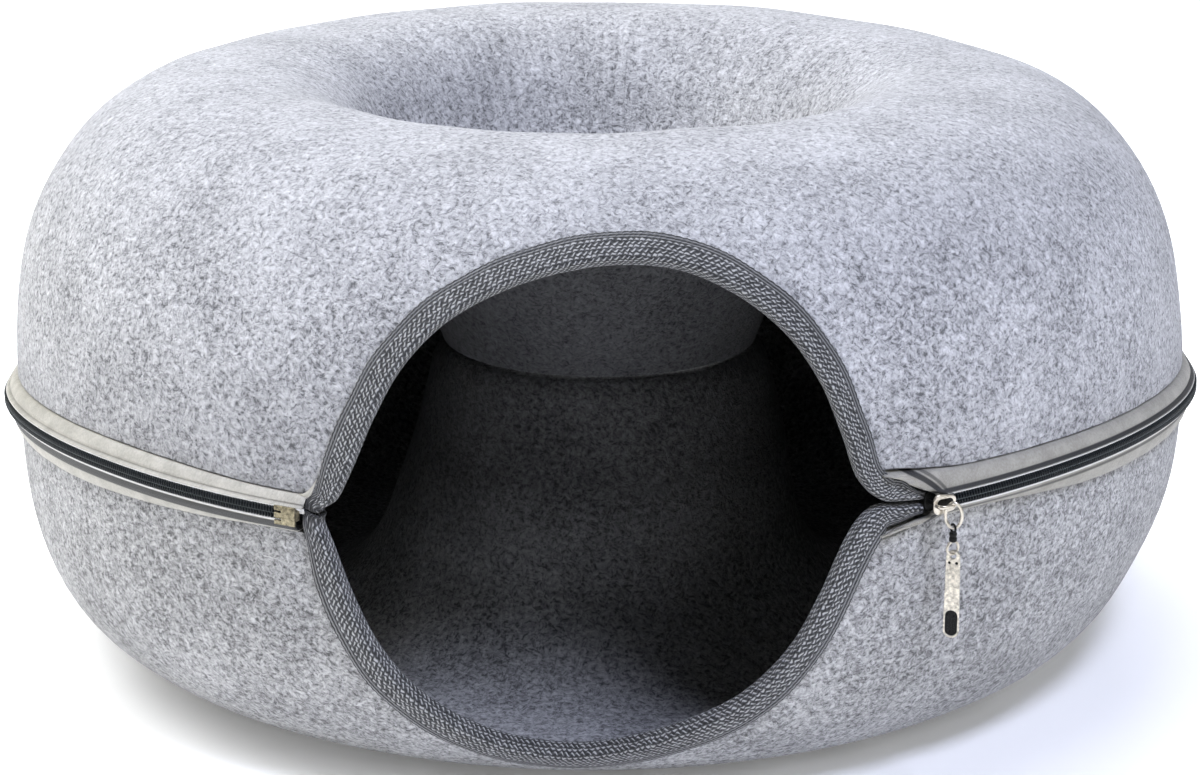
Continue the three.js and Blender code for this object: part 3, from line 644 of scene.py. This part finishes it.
def shell(line, gaps, end, phase, fine):
    """Rings of points round a shell: rounded edges, its outside and its tunnel side."""
    turns, rows = (300, FINE_ROWS) if fine else (160, COARSE_ROWS)
    degrees = np.linspace(0, 360, turns, endpoint=False)
    start = between(gaps, around(degrees))[:, None]
    # each row: share of the way from the zip to the far edge, millimetres more, and depth
    c = CORNER
    q = [(c * math.sin(a), c * math.cos(a)) for a in np.radians(np.linspace(0, 90, 5))[1:-1]]
    across = [(k, c * (1 - 2 * k), 0.0) for k in np.linspace(0, 1, rows)]
    across += [(1, sin - c, c - cos) for sin, cos in q] + [(1, 0, c), (1, 0, FELT - c)]
    across += [(1, cos - c, FELT - c + sin) for sin, cos in q]
    across += [(k, c * (1 - 2 * k), FELT) for k in np.linspace(1, 0, rows)]
    across += [(0, c - sin, FELT - c + cos) for sin, cos in q] + [(0, 0, FELT - c), (0, 0, c)]
    across += [(0, c - cos, c - sin) for sin, cos in q]
    share, more, deep = (np.array(v)[None, :] for v in zip(*across))
    s = start + (end - start) * share + more
    radius, level = line.at(s, -deep)
    from_front = np.abs(np.where(degrees > 180, degrees - 360, degrees))
    front = 1 - ease((from_front - 27) / 12)[:, None]
    calm = front * ease((268 - level) / 10) * ease((level - 8) / 8)
    fade = ease((s - start - 6) / 45) * (1 - calm) * ease((radius - 80) / 30)
    fade = fade * np.where(level < 6, 0.0, ease((level - 4) / 20))
    wave = unevenness(degrees[:, None], s, phase) * fade
    radius, level = line.at(s, wave - deep)
    # the cut edge at the zip is not quite straight
    nick = 0.12 * np.sin(np.radians(degrees[:, None]) * 61 + phase) * (1 - share) ** 12
    return place(radius, degrees[:, None], level + nick)


def edge_stations(table, upper, spacing):
    """Points along the entrance's edge: degrees, height up the wall, and the way into the cloth."""
    scale = math.radians(WALL_RADIUS)
    rows = np.array([(d * scale, up) for d, up in table], float)

    # the same centripetal curve as in the part's source
    def knot(p0, p1):
        return max(np.linalg.norm(p1 - p0) ** 0.5, 1e-4)

    points = []
    for i in range(len(rows) - 1):
        p1, p2 = rows[i], rows[i + 1]
        p0 = rows[i - 1] if i > 0 else 2 * p1 - p2
        p3 = rows[i + 2] if i + 2 < len(rows) else 2 * p2 - p1
        d0, d1, d2 = knot(p0, p1), knot(p1, p2), knot(p2, p3)
        m1 = ((p1 - p0) / d0 - (p2 - p0) / (d0 + d1) + (p2 - p1) / d1) * d1
        m2 = ((p2 - p1) / d1 - (p3 - p1) / (d1 + d2) + (p3 - p2) / d2) * d1
        t = np.linspace(0, 1, 24, endpoint=i + 2 == len(rows))[:, None]
        h = (2 * t**3 - 3 * t**2 + 1, t**3 - 2 * t**2 + t, 3 * t**2 - 2 * t**3, t**3 - t**2)
        points.append(h[0] * p1 + h[1] * m1 + h[2] * p2 + h[3] * m2)
    p = even(np.vstack(points), spacing)
    step = np.gradient(p, axis=0)
    step[0], step[-1] = rows[1] - rows[0], rows[-1] - rows[-2]
    step = unit(step) * (1 if upper else -1)
    away = np.stack([-step[:, 1], step[:, 0]], axis=1)
    return {"degrees": p[:, 0] / scale, "up": p[:, 1], "away": away, "s": run_of(p)}


def from_edge(st, into, over):
    """Points over the wall, a distance into the cloth from the entrance's edge."""
    up = st["up"][:, None] + st["away"][:, 1:2] * into
    far = np.abs(st["up"])
    radius = np.where(st["up"] < 0, LOWER.at(far, 0)[0], UPPER.at(far, 0)[0])
    degrees = st["degrees"][:, None] + st["away"][:, 0:1] * into / np.radians(radius)[:, None]
    return wall_point(degrees, up, over)


def entrance_tool():
    """The body that cuts the entrance square through both shells."""
    into = BINDING + 1.5 * CLEARANCE
    top = edge_stations(UPPER_EDGE, True, 3.0)
    low = edge_stations(LOWER_EDGE, False, 3.0)

    def loop(over):
        a = from_edge(top, np.full((1, 1), into), over)[:, 0]
        b = from_edge(low, np.full((1, 1), into), over)[:, 0]
        return np.vstack([a, b[::-1]])

    outer, inner = loop(14.0), loop(-17.0)
    front = outer * [0.02, 0, 0.02] + [0, -350, ZIP_HEIGHT * 0.98]
    back = inner * [0.02, 0, 0.02] + [0, -200, ZIP_HEIGHT * 0.98]
    points, faces = skin([front, outer, inner, back], False)
    tool = piece("entrance_tool", points, faces, WEBBING, smooth=False)
    return mend_normals(tool)


def make_shell(name, line, gaps, end, phase, materials, tool, node):
    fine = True
    rings = shell(line, gaps, end, phase, fine)
    points, faces = skin(rings, True)
    obj = piece(name, points, faces, materials[0])
    if len(materials) > 1:
        # from the first rounded corner at the end of the outside on, the rows face the tunnel and
        # take the felt with painted shade
        obj.data.materials.append(materials[1])
        across = rings.shape[1]
        row = np.arange(len(obj.data.polygons)) % across
        inner = (row >= (FINE_ROWS if fine else COARSE_ROWS)).astype(np.int32)
        obj.data.polygons.foreach_set("material_index", inner)
    mend_normals(obj)
    cut = obj.modifiers.new("cut", "BOOLEAN")
    cut.operation = "DIFFERENCE"
    cut.solver = "EXACT"
    cut.object = tool
    settle(obj)
    obj.data.polygons.foreach_set("use_smooth", [True] * len(obj.data.polygons))
    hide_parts(node)
    return obj


tool = entrance_tool()
felt_top = make_shell(
    "felt_top", UPPER, UPPER_GAP, UPPER.length - 0.9, 0.6, [FELT_TOP, FELT_INSIDE_SHADED],
    tool, "felt_upper_shell",
)
felt_base = make_shell(
    "felt_base", LOWER, LOWER_GAP, LOWER.length - 1.6, 2.3, [FELT_BASE],
    tool, "felt_lower_shell",
)
bpy.data.objects.remove(tool)


# Binding
def binding(name, table, upper, node):
    st = edge_stations(table, upper, 0.8)
    total = st["s"][-1]
    tapers = UPPER_TAPERS if upper else LOWER_TAPERS
    left = ease(st["s"] / tapers[0])
    right = ease((total - st["s"]) / tapers[1])
    full = between(UPPER_WIDTHS if upper else LOWER_WIDTHS, st["s"] / total)
    width = np.minimum(
        BINDING_ENDS[0] + (full - BINDING_ENDS[0]) * left,
        BINDING_ENDS[1] + (full - BINDING_ENDS[1]) * right,
    )[:, None]
    width = width + 0.22 * np.sin(st["s"] / 5.3)[:, None] * left[:, None]
    # the selvage is scalloped by its weft
    scallop = 0.17 * np.sin(st["s"] * 2 * math.pi / 3.2)[:, None]
    under = -FELT - INNER_CLEARANCE
    top = CLEARANCE + BINDING
    low = under - BINDING
    r = 2.6
    outline = [(1, 0, CLEARANCE), (1, 0.05, CLEARANCE + 0.6), (1, -0.35, top - 0.08)]
    outline += [(k, 0, top) for k in (0.85, 0.7, 0.55, 0.4)]
    corner = np.radians(np.linspace(0, 90, 7))
    outline += [(0, r - r * math.sin(a), top - r + r * math.cos(a)) for a in corner]
    outline += [(0, 0, (top + low) / 2)]
    outline += [(0, r - r * math.cos(a), low + r - r * math.sin(a)) for a in corner]
    outline += [(k, 0, low) for k in (0.4, 0.6, 0.8)]
    outline += [(1, -1.35, low + 0.08), (1, -0.95, under - 0.6), (1, -1.0, under)]
    outline += [(0.5, 0, under), (0, BINDING, under), (0, BINDING, CLEARANCE), (0.5, 0, CLEARANCE)]
    share, more, over = (np.array(v)[None, :] for v in zip(*outline))
    into = share * (width + scallop * (share > 0.99)) + more
    # slow waves where the cloth is drawn round the curve
    puff = np.sin(st["s"] / 9.1)[:, None] * 0.16 * (share > 0.3) * (share < 0.95) * (over > 0)
    rings = from_edge(st, into, over + puff)
    lengths = run_of(np.stack([into[len(into) // 2], over[0]], axis=1))
    uv = np.stack(np.broadcast_arrays(st["s"][:, None], lengths[None, :]), axis=-1).reshape(-1, 2)
    points, faces = skin(rings, False)
    obj = piece(name, points, faces, WEBBING, uv)
    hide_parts(node)
    return obj, total


top_binding, top_length = binding("binding_tape_top", UPPER_EDGE, True, "binding_upper")
low_binding, low_length = binding("binding_tape_base", LOWER_EDGE, False, "binding_lower")


# Zip
TAPE_HALF = 0.36  # half of the tape's thickness
TAPE_STEP = 3.0  # along the zip
# section of a tape: out from the wall, and height as a share of the felt's gap plus millimetres
TAPE_ROWS = (
    (-7.4, 1, 6), (-6.2, 1, -0.75), (-1.0, 1, -0.6), (0.8, 1, -0.6), (2.2, 0.85, -0.5),
    (3.0, 0.66, 0), (3.5, 0.5, 0.7), (3.7, 0.38, 1.4), (3.6, 0.22, 2.2), (3.9, 0.1, 2.95),
    (4.6, 0.05, 3.3), (5.4, 0.02, 3.3), (5.9, 0, 3), (5.6, 0, 2.7), (4.6, 0, 2.55),
    (3.6, 0, 2.5), (3.3, 0, 0.4),
)
# folds where the open tape is drawn in to the slider: degrees and height
UPPER_CREASES = ((27.1, 17.3), (26.2, 14.0))
LOWER_CREASES = ((26.4, 9.5),)
CORNER_UV = [1600.0, 9.0]  # place in the weave of the folded corner


def with_folded_end(points, faces, uv):
    """Adds the tape's left corner, folded up beside the binding."""
    rings = []
    for share in np.linspace(0, 1, 9):
        # its left and right side as degrees and height, drawn in to a tip
        left = np.array([-26.1 + 1.75 * share**0.8, 8.2 + 8.2 * share**1.6])
        right = np.array([-25.05 + 0.75 * share, 6.2 + 10.4 * share])
        over = 0.75 + 0.35 * math.sin(math.pi * share)
        half = 0.3 * (1 - 0.6 * share)
        bulges = ((0, 0), (0.5, 0.35), (1, 0.1))
        across = [(left + (right - left) * k, bulge) for k, bulge in bulges]
        outer, inner = (
            [wall_point(*at, side + bulge) for at, bulge in across]
            for side in (over + half, over - half)
        )
        rings.append(outer + inner[::-1])
    points, faces = many([(points, faces), skin(rings, False)])
    return points, faces, np.vstack([uv, np.tile(CORNER_UV, (len(points) - len(uv), 1))])


def zip_tape(name, upper, node):
    """A tape from inside the felt's edge to the chain, with its rolled lip."""
    sense = 1 if upper else -1
    gaps = UPPER_GAP if upper else LOWER_GAP
    first, last = UPPER_TAPE_ENDS if upper else LOWER_TAPE_ENDS
    steps = int(math.radians(last + 360 - first) * RIDGE_RADIUS / TAPE_STEP)
    degrees = np.linspace(first, last + 360, steps + 1)
    gap = between(gaps, around(degrees))[:, None]
    out, share, more = (np.array(v)[None, :] for v in zip(*TAPE_ROWS))
    up = gap * share + more
    opened = np.where(degrees < 90, ease((30.2 - degrees) / 2.2), 0.0)[:, None]
    foot = between(UPPER_OPEN if upper else LOWER_OPEN, degrees)[:, None] + 0.6
    count = len(TAPE_ROWS)
    turn = np.clip((np.arange(count) - 2) / (count - 3), 0, 1)[None, :]
    lifted = (gap - 0.85) * (1 - turn) + foot * turn
    loose = np.where(turn > 0, opened, 0.0)
    middle = np.sin(math.pi * turn)
    crease = 0.4 * np.sin(turn * 11 + degrees[:, None] * 2.1) * middle
    for at, height in UPPER_CREASES if upper else LOWER_CREASES:
        line = at + (height - lifted) * 0.2
        crease = crease - 1.2 * np.exp(-(((degrees[:, None] - line) / 0.2) ** 2)) * middle
    out = out * (1 - loose) + (3.3 + crease) * loose
    up = up * (1 - loose) + lifted * loose
    along = unit(np.stack([np.gradient(out, axis=1), np.gradient(up, axis=1)], -1))
    side = np.stack([along[..., 1], -along[..., 0]], -1) * TAPE_HALF
    loop_out = np.concatenate([out + side[..., 0], (out - side[..., 0])[:, ::-1]], axis=1)
    loop_up = np.concatenate([up + side[..., 1], (up - side[..., 1])[:, ::-1]], axis=1)
    # the end of the tape slants along the binding
    slant = 2.1 * (1 - np.concatenate([turn, turn[:, ::-1]], axis=1)) ** 0.6
    slant = slant * np.where(degrees < 90, ease((30 - degrees) / 4), 0.0)[:, None]
    where = degrees[:, None] - slant
    rings = place(WALL_RADIUS + loop_out, where, ZIP_HEIGHT + sense * loop_up)
    s = np.radians(degrees) * RIDGE_RADIUS
    uv = np.stack([np.broadcast_to(s[:, None], loop_up.shape), loop_up], -1).reshape(-1, 2)
    points, faces = skin(rings, False)
    if upper:
        points, faces, uv = with_folded_end(points, faces, uv)
    cloth = TAPE_TOP if upper else TAPE_BASE
    obj = mend_normals(piece(name, points, faces, cloth, uv))
    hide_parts(node)
    return obj, np.ptp(s)


tape_top, top_run = zip_tape("zip_cloth_top", True, "zip_tape_upper")
tape_base, base_run = zip_tape("zip_cloth_base", False, "zip_tape_lower")


def coil(name, upper, node):
    """One side of the closed chain: loops of nylon wire whose heads reach past the middle."""
    sense = 1 if upper else -1
    pitch = COIL_PITCH * 1
    step = math.degrees(pitch / RIDGE_RADIUS)
    first, last = COIL_ENDS
    centres = np.arange(first + (0 if upper else step / 2), last + 360, step)
    # path of one loop: height from the chain's middle, depth in from the ridge, and slant
    low, tall, inward, lean, wire = -0.35, 1.38, 1.35, 0.32, 0.47
    around_loop = np.radians(np.arange(0, 360, 36))
    up = low + tall - tall * np.cos(around_loop)
    deep = inward - np.sin(around_loop)
    slant = lean * np.sin(around_loop)
    sides = np.radians(np.arange(0, 360, 72))
    path = np.stack([slant, deep, up], axis=1)
    tangent = unit(np.roll(path, -1, 0) - np.roll(path, 1, 0))
    across = unit(np.cross(tangent, [1.0, 0, 0]))
    third = np.cross(tangent, across)
    ring = (
        path[:, None]
        + wire * np.cos(sides)[:, None] * across[:, None]
        + wire * np.sin(sides)[:, None] * third[:, None]
    )
    flat, quads = skin(ring, True)
    where = centres[:, None] + np.degrees(flat[:, 0] / RIDGE_RADIUS)
    points = place(RIDGE_RADIUS - flat[:, 1], where, ZIP_HEIGHT + sense * flat[:, 2])
    starts = np.arange(len(centres)) * len(flat)
    faces = (np.array(quads)[None] + starts[:, None, None]).reshape(-1, 4)
    run = np.radians(where) * RIDGE_RADIUS
    uv = np.stack(np.broadcast_arrays(run, flat[:, 2]), -1).reshape(-1, 2)
    obj = mend_normals(piece(name, points, faces.tolist(), NYLON, uv))
    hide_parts(node)


coil("zip_teeth_top", True, "zip_coil_upper")
coil("zip_teeth_base", False, "zip_coil_lower")


# Zip fittings, each in its own frame: x along the zip, -y outwards, z up
FRONT = -CLEARANCE - 0.1
PLATE = 1.4
FACE = FRONT - PLATE
RING_HALF = (3.55, 5.6)
RING_WIRE = 0.75
RING_SHIFT = 0.6
SLIDER_SHIFT = -1.0
LOOP_WIRE = 0.6
BACK_DEPTH = 5.6  # the slider's plate behind the coil
PULL_OUT = 4.1 - FACE  # the pull hangs inside the bridge
RING_LEVEL = 0.3 + CLEARANCE + RING_WIRE - RING_HALF[1]
SWIVEL_LEVEL = RING_LEVEL - RING_HALF[1] + RING_WIRE + CLEARANCE + LOOP_WIRE
EYE_LEVEL = SWIVEL_LEVEL - 14.2
TAB = 1.5
TAB_LENGTH = 40
RING_TURN, TAB_TURN = -40, -47.5  # degrees about the height, as they hang
# the stop seen from the front, with its three teeth round the chain
STOP_OUTLINE = [
    (-5.5, 4.2), (-5.5, 2.2), (-1.8, 2.2), (-1.8, 1.2), (-5.5, 1.2), (-5.5, -1.2), (-1.8, -1.2),
    (-1.8, -2.2), (-5.5, -2.2), (-5.5, -4.2), (4.6, -4.2), (5, -3.8), (5, 3.8), (4.6, 4.2),
]


def plate(loops, y, thickness, bevel, back=None):
    """A flat plate seen from the front, its middle at y, with holes and rounded edges."""
    back = bevel if back is None else back
    loops = [np.array(loop, float) for loop in loops]
    half = thickness / 2
    turn = [(math.sin(a), math.cos(a)) for a in np.radians([0, 30, 60, 90])]
    section = [(bevel * (1 - sin), y - half + bevel * (1 - cos)) for sin, cos in turn]
    section += [(back * (1 - sin), y + half - back * (1 - cos)) for sin, cos in turn[::-1]]
    points, faces, base = [], [], 0
    fronts, backs = [], []
    for loop in loops:
        way = unit(np.roll(loop, -1, 0) - np.roll(loop, 1, 0))
        away = np.stack([way[:, 1], -way[:, 0]], axis=1)
        m = len(loop)
        rings = []
        for inset, depth in section:
            x, z = (loop - away * inset).T
            rings.append(np.stack([x, np.full(m, depth), z], axis=1))
        skinned, walls = skin(rings, False)
        points.append(skinned)
        faces += [[base + q for q in face] for face in walls[:-2]]
        fronts.append((base, loop - away * bevel))
        backs.append((base + (len(section) - 1) * m, loop - away * back))
        base += m * len(section)
    for side in (fronts, backs):
        index = np.concatenate([start + np.arange(len(p)) for start, p in side])
        flat = [[(float(x), float(z), 0.0) for x, z in p] for _, p in side]
        faces += [[int(index[q]) for q in face] for face in tessellate_polygon(flat)]
    return np.vstack(points), faces


def oval(half, wire, steps=56, sides=14, turn=0.0):
    """A closed link of round wire in the upright plane, or turned about its height."""
    a = np.linspace(0, 2 * np.pi, steps, endpoint=False)[:, None]
    q = np.linspace(0, 2 * np.pi, sides, endpoint=False)[None, :]
    normal = unit(np.stack([np.cos(a) / half[0], np.sin(a) / half[1]], -1))
    x = half[0] * np.cos(a) + wire * np.cos(q) * normal[..., 0]
    z = half[1] * np.sin(a) + wire * np.cos(q) * normal[..., 1]
    y = wire * np.sin(q) + 0 * a
    return skin(np.stack([*spun(x, y, turn), z], axis=-1), True)


def rod(path, radii, sides=14):
    """A bar of oval section along a path: radii across the path in its plane, and beside it."""
    way = unit(np.gradient(path, axis=0))
    beside = np.array([0.0, 0.0, 1.0] if np.ptp(path[:, 2]) < 1e-6 else [1.0, 0.0, 0.0])
    third = np.cross(way, beside)
    q = np.linspace(0, 2 * np.pi, sides, endpoint=False)
    radii = np.broadcast_to(radii, (len(path), 2))
    rings = (
        path[:, None]
        + third[:, None] * (np.cos(q)[None, :] * radii[:, :1])[..., None]
        + beside[None, None] * (np.sin(q)[None, :] * radii[:, 1:])[..., None]
    )
    return skin(rings, False)


def moved(part, x, y, z):
    return part[0] + [x, y, z], part[1]


def fitting(name, parts, materials, node, angle=SLIDER_ANGLE):
    """One object from parts, each with its material's number, at an angle on the ridge."""
    points, faces = many([part for _, part in parts])
    x, y, z = points.T
    points = np.stack([*spun(x, y, angle), z], axis=1) + place(RIDGE_RADIUS, angle, ZIP_HEIGHT)
    obj = piece(name, points, faces, materials[0])
    for material in materials[1:]:
        obj.data.materials.append(material)
    number = np.concatenate([np.full(len(part[1]), which) for which, part in parts])
    obj.data.polygons.foreach_set("material_index", number.astype(np.int32))
    mend_normals(obj)
    obj.data.set_sharp_from_angle(angle=math.radians(38))
    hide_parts(node)


def ring_shape(width, top, bottom, radius):
    """A rounded upright rectangle, counter-clockwise."""
    w = width / 2 - radius
    low, high = bottom + radius, top - radius
    corners = [(w, low, -90), (w, high, 0), (-w, high, 90), (-w, low, 180)]
    return np.vstack([arc((x, z), radius, a, a + 90, 7) for x, z, a in corners])


def slider_parts():
    # wide rounded shoulders at the open end, a narrower closed end
    wide, narrow, half = 4.7, 3.7, 5.75
    body = np.vstack([
        arc((half - 2.2, -narrow + 2.2), 2.2, -90, 0, 8),
        arc((half - 2.2, narrow - 2.2), 2.2, 0, 90, 8),
        arc((-half + 3.0, wide - 3.0), 3.0, 90, 180, 9),
        arc((-half + 3.0, -wide + 3.0), 3.0, 180, 270, 9),
    ])
    front = plate([body], FRONT - PLATE / 2, PLATE, 0.5)
    # the back plate is dark metal: painted shade inside the slider
    parts = [(0, front), (1, plate([body], BACK_DEPTH, 1.2, 0.3))]
    for sense in (1, -1):
        xs = np.linspace(-3.6, 4.2, 12)
        rim = [(x, FRONT + 0.1, sense * (3.75 if x < 0 else 3.4)) for x in xs]
        parts.append((0, rod(np.array(rim), (0.62, 0.6))))
    # the post between the plates is dark too: painted shade
    post = ring_shape(1.9, 0.9, -0.9, 0.8)
    post[:, 0] -= 4.0
    parts.append((1, plate([post], (FRONT + BACK_DEPTH) / 2 - 0.3, 6.1, 0.2)))
    # the bridge, square with rounded corners
    t = np.linspace(0, np.pi, 34)
    along = -0.8 - 4.2 * np.sign(np.cos(t)) * np.abs(np.cos(t)) ** 0.55
    out = FACE + 0.5 - 4.6 * np.sin(t) ** 0.55
    parts.append((0, rod(np.stack([along, out, 0 * t], axis=1), (0.58, 0.92), 16)))
    # painted shade: a dark sheet in the hollow under the bridge
    hollow = ring_shape(8.2, 2.5, -2.3, 1.9)
    parts.append((1, plate([hollow], FACE - 0.02, 0.1, 0.0)))
    return [(which, moved(part, SLIDER_SHIFT, 0, 0)) for which, part in parts]


def turned(part, degrees):
    """A part turned about its own height."""
    x, y, z = part[0].T
    return np.stack([*spun(x, y, degrees), z], axis=1), part[1]


def tab_parts():
    high = EYE_LEVEL + 2.4
    low = high - TAB_LENGTH
    top, foot = 3.0, 3.55
    shape = np.vstack([
        arc((0, low + foot), foot, 180, 360, 22), arc((0, high - top), top, 0, 180, 18),
    ])
    eye = arc((0, EYE_LEVEL), 1.5, 360, 0, 21)[:-1]
    spots = [(x, EYE_LEVEL - 3.3) for x in (-1.6, 1.6)]
    dimples = [arc(spot, 0.65, 360, 0, 15)[:-1] for spot in spots]
    recess = ring_shape(foot * 2 - 1.7, low + 12.6, low + 1.0, 2.5)
    y = -TAB / 2
    parts = [
        (0, plate([shape, eye, *dimples, recess[::-1]], y + 0.3, 0.6, 0.22, 0.0)),
        (0, plate([shape, eye], y + 1.0, 1.0, 0.0, 0.25)),
        (1, plate([ring_shape(foot * 2 - 1.6, low + 12.7, low + 0.9, 2.5)], y + 0.46, 0.12, 0.0)),
    ]
    for spot in spots:
        parts.append((1, plate([arc(spot, 0.7, 0, 360, 15)[:-1]], y + 0.46, 0.1, 0.0)))
    # ridges in the recess
    ridge = ring_shape(0.5, low + 11, low + 2.6, 0.2)
    for x in (-1.4, 0.0, 1.4):
        parts.append((1, plate([ridge + [x, 0]], y + 0.36, 0.2, 0.08)))
    hang = (RING_SHIFT + 0.5, -PULL_OUT, 0)
    return [(which, moved(turned(part, TAB_TURN), *hang)) for which, part in parts]


def swivel_parts():
    upper = moved(oval((1.6, 1.9), 0.5, 40, 12, 90), 0, 0, SWIVEL_LEVEL - 1.9)
    lower = moved(oval((2.9, 2.9), LOOP_WIRE, 48, 12), 0, 0, SWIVEL_LEVEL - 10.7)
    z = np.linspace(-2.25, 2.25, 15)
    girth = 1.75 - 0.35 * np.exp(-(((z - 0.2) / 0.45) ** 2)) - 0.5 * (np.abs(z) / 2.25) ** 8
    path = np.stack([0 * z, 0 * z, z + SWIVEL_LEVEL - 5.65], axis=1)
    barrel = rod(path, np.stack([girth, girth], axis=1), 20)
    parts = [(0, upper), (0, barrel), (1, lower)]
    return [(which, moved(part, RING_SHIFT, -PULL_OUT, 0)) for which, part in parts]


def ring_parts():
    ring = turned(oval(RING_HALF, RING_WIRE, 72, 16), RING_TURN)
    return [(0, moved(ring, RING_SHIFT, -PULL_OUT, RING_LEVEL))]


def stop_parts():
    fine = even(STOP_OUTLINE + STOP_OUTLINE[:1], 0.45)[:-1]
    cover = plate([fine], -CLEARANCE - 0.7, 1.4, 0.32)
    x, y, z = cover[0].T
    # pressed down over the chain, so its middle stands proud
    cover = np.stack([x, y - 0.45 * (1 - (z / 4.2) ** 2) * ease((x + 6) / 3), z], axis=1), cover[1]
    clamp = plate([ring_shape(3.2, 2.6, -2.6, 0.5)], 1.05, 3.7, 0.2)
    return [(0, cover), (0, moved(clamp, 3.0, 0, 0))]


fitting("stop_clamp", stop_parts(), [BRASS], "zip_stop", STOP_ANGLE)
fitting("slider_body", slider_parts(), [SILVER, DARK_METAL_AND_SHADE], "zip_slider")
fitting("ring_of_pull", ring_parts(), [SILVER], "pull_ring")
fitting("swivel_of_pull", swivel_parts(), [DARK_METAL_AND_SHADE, SILVER], "pull_swivel")
fitting("tab_of_pull", tab_parts(), [WORN, DARK_METAL_AND_SHADE], "pull_tab")


# Stage and camera
IMAGE = (1200, 775)  # the photograph's pixels
VIEW_CENTRE = (595.35, 339.11)  # the pixel that the camera points at
FOCAL_PIXELS = 3089.6
SENSOR = 36
CAMERA_AWAY, CAMERA_LEVEL = 1519.78, 568.74  # from the ring's middle, and up from the floor
CAMERA_TILT = 15.682
LIGHTS_AIM = (0, -0.05, 0.1)
LIGHTS = (
    ("left", (-2.2, -0.3, 1.0), (1.5, 1.5), 17, (1.0, 0.99, 0.97)),
    ("top_left", (-1.5, 0.3, 2.0), (1.5, 1.5), 57, (0.99, 1.0, 1.0)),
    ("top", (0, 0.2, 2.5), (2, 2), 7, (1, 1, 1)),
    ("right_front", (1.6, -1.6, 1.2), (1.2, 1.2), 13.5, (0.98, 0.99, 1.0)),
    ("back", (0, 1.8, 1.5), (2, 1), 27, (0.96, 0.98, 1.02)),
    ("floor_patch", (0.65, -1.15, 1.9), (0.5, 0.5), 27, (0.84, 0.90, 1.17)),
)


def stage():
    mesh = bpy.data.meshes.new("floor")
    mesh.from_pydata([(-6, -4, 0), (6, -4, 0), (6, 8, 0), (-6, 8, 0)], [], [(0, 1, 2, 3)])
    floor = added("floor", mesh)
    n = Nodes("floor")
    # painted light: the floor glows a little all over, and more beyond the object's own shadow, so
    # the backdrop looks evenly lit
    beyond = n.past(n.length(n.coordinates("Object")), 0.29, 14.0)
    n.finish(
        Base_Color=(0.97, 0.97, 0.97, 1), Roughness=0.9, Emission_Color=(1, 1, 1, 1),
        Emission_Strength=n.add(beyond, 0.27, 0.12),
    )
    mesh.materials.append(n.material)
    world = bpy.data.worlds.new("studio")
    world.use_nodes = True
    background = world.node_tree.nodes["Background"]
    background.inputs[0].default_value = (1, 1, 1, 1)
    background.inputs[1].default_value = 0.035
    bpy.context.scene.world = world
    for name, at, size, power, colour in LIGHTS:
        data = bpy.data.lights.new(name, "AREA")
        data.shape = "RECTANGLE"
        data.size, data.size_y = size
        data.energy = power
        data.color = colour
        light = added(name, data)
        light.location = at
        way = Vector(LIGHTS_AIM) - Vector(at)
        light.rotation_euler = way.to_track_quat("-Z", "Y").to_euler()


def camera():
    data = bpy.data.cameras.new("camera")
    data.sensor_width = SENSOR
    data.lens = FOCAL_PIXELS / IMAGE[0] * SENSOR
    data.shift_x = (IMAGE[0] / 2 - VIEW_CENTRE[0]) / IMAGE[0]
    data.shift_y = (VIEW_CENTRE[1] - IMAGE[1] / 2) / IMAGE[0]
    data.clip_start, data.clip_end = 0.05, 50
    cam = added("camera", data)
    cam.location = (AXIS[0] / 1000, (-CAMERA_AWAY + AXIS[1]) / 1000, CAMERA_LEVEL / 1000)
    cam.rotation_euler = (math.radians(90 - CAMERA_TILT), 0, 0)
    bpy.context.scene.camera = cam


stage()
camera()
bpy.context.scene.view_settings.view_transform = "Standard"
